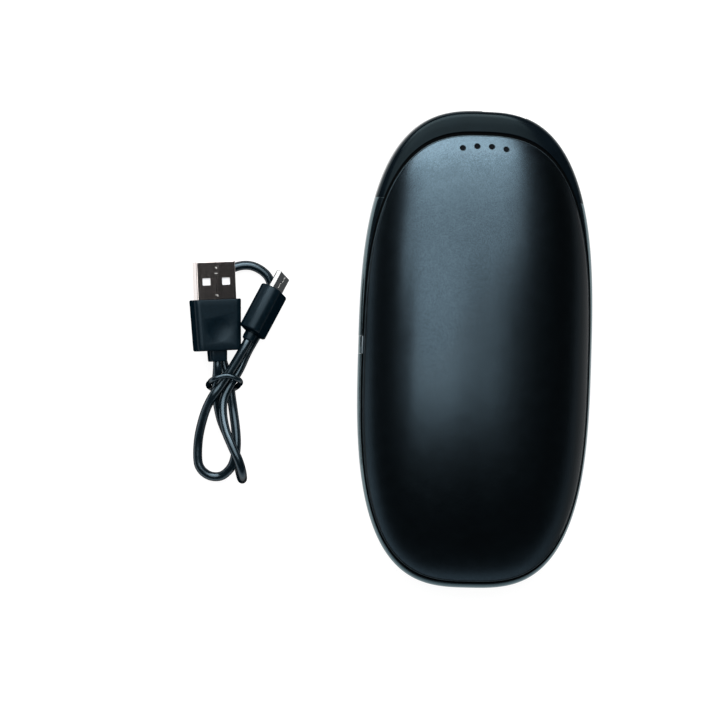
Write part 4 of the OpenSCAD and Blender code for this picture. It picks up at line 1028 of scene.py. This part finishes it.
def floor_material():
    """Pale floor that shows as white to the eye, keeps the object's shadow, and is clear from below."""
    mat = bpy.data.materials.new("floor")
    mat.use_nodes = True
    nodes, links = mat.node_tree.nodes, mat.node_tree.links
    nodes.remove(nodes["Principled BSDF"])
    pale = nodes.new("ShaderNodeBsdfDiffuse")
    pale.inputs["Color"].default_value = FLOOR_PALE
    shade = nodes.new("ShaderNodeBsdfDiffuse")
    shade.inputs["Color"].default_value = FLOOR_SHADE
    glow = nodes.new("ShaderNodeEmission")
    glow.inputs["Strength"].default_value = FLOOR_GLOW
    seen = nodes.new("ShaderNodeAddShader")
    links.new(shade.outputs["BSDF"], seen.inputs[0])
    links.new(glow.outputs["Emission"], seen.inputs[1])
    rays = nodes.new("ShaderNodeLightPath").outputs
    white = greater(mat.node_tree, rays["Is Camera Ray"], rays["Is Glossy Ray"])
    mix = nodes.new("ShaderNodeMixShader")
    links.new(greater(mat.node_tree, white, rays["Is Transmission Ray"]), mix.inputs["Fac"])
    links.new(pale.outputs["BSDF"], mix.inputs[1])
    links.new(seen.outputs["Shader"], mix.inputs[2])
    side = nodes.new("ShaderNodeNewGeometry")
    clear = nodes.new("ShaderNodeBsdfTransparent")
    from_below = nodes.new("ShaderNodeMixShader")
    links.new(side.outputs["Backfacing"], from_below.inputs["Fac"])
    links.new(mix.outputs["Shader"], from_below.inputs[1])
    links.new(clear.outputs["BSDF"], from_below.inputs[2])
    links.new(from_below.outputs["Shader"], nodes["Material Output"].inputs["Surface"])
    return mat


corners = [(FLOOR_HALF * x, FLOOR_HALF * y, FLOOR_Z) for x, y in ((-1, -1), (1, -1), (1, 1), (-1, 1))]
floor = mesh_from("floor", corners, [(0, 1, 2, 3)])
floor.data.materials.append(floor_material())

world = bpy.data.worlds.new("studio")
bpy.context.scene.world = world
world.use_nodes = True
tree = world.node_tree
nodes, links = tree.nodes, tree.links
rays = nodes.new("ShaderNodeLightPath").outputs
where = nodes.new("ShaderNodeTexCoord")
height = nodes.new("ShaderNodeVectorMath")
height.operation = "DOT_PRODUCT"
height.inputs[1].default_value = HORIZON_TILT
links.new(where.outputs["Generated"], height.inputs[0])
surroundings = nodes.new("ShaderNodeValToRGB")
low, high = surroundings.color_ramp.elements
low.position, low.color = 0.0, HORIZON
high.position, high.color = CEILING_START, CEILING
links.new(height.outputs["Value"], surroundings.inputs["Fac"])
lit = mix_colour(tree, rays["Is Glossy Ray"], AMBIENT, surroundings.outputs["Color"])
straight = greater(tree, rays["Is Camera Ray"], rays["Is Transmission Ray"])
links.new(mix_colour(tree, straight, lit, WHITE), nodes["Background"].inputs["Color"])

for name, (left, right, front, rear, level) in LAMPS.items():
    width, depth = right - left, rear - front
    data = bpy.data.lights.new(name, "AREA")
    data.shape = "RECTANGLE"
    data.size = width
    data.size_y = depth
    data.energy = level * math.pi * width * depth
    lamp = new_object(name, data)
    lamp.location = ((left + right) / 2, (front + rear) / 2, LAMP_HEIGHT)
    lamp.visible_camera = False

back = Vector((-math.tan(math.radians(CAMERA_LEAN)), 0, 1)).normalized()
across = Vector((0, 1, 0)).cross(back).normalized()
roll = math.radians(CAMERA_ROLL)
right = across * math.cos(roll) + Vector((0, 1, 0)) * math.sin(roll)
up = back.cross(right)
camera_data = bpy.data.cameras.new("camera")
camera_data.sensor_width = SENSOR
camera_data.lens = FOCAL_PIXELS / IMAGE_PIXELS * SENSOR
camera_data.clip_start = 0.05
camera_data.clip_end = 20
camera = new_object("camera", camera_data)
axes = Matrix((right, up, back)).transposed().to_4x4()
camera.matrix_world = Matrix.Translation(Vector(CAMERA_TARGET) * MM + back * CAMERA_DISTANCE) @ axes
bpy.context.scene.camera = camera

bpy.context.scene.view_settings.view_transform = "Standard"

bpy.context.view_layer.update()
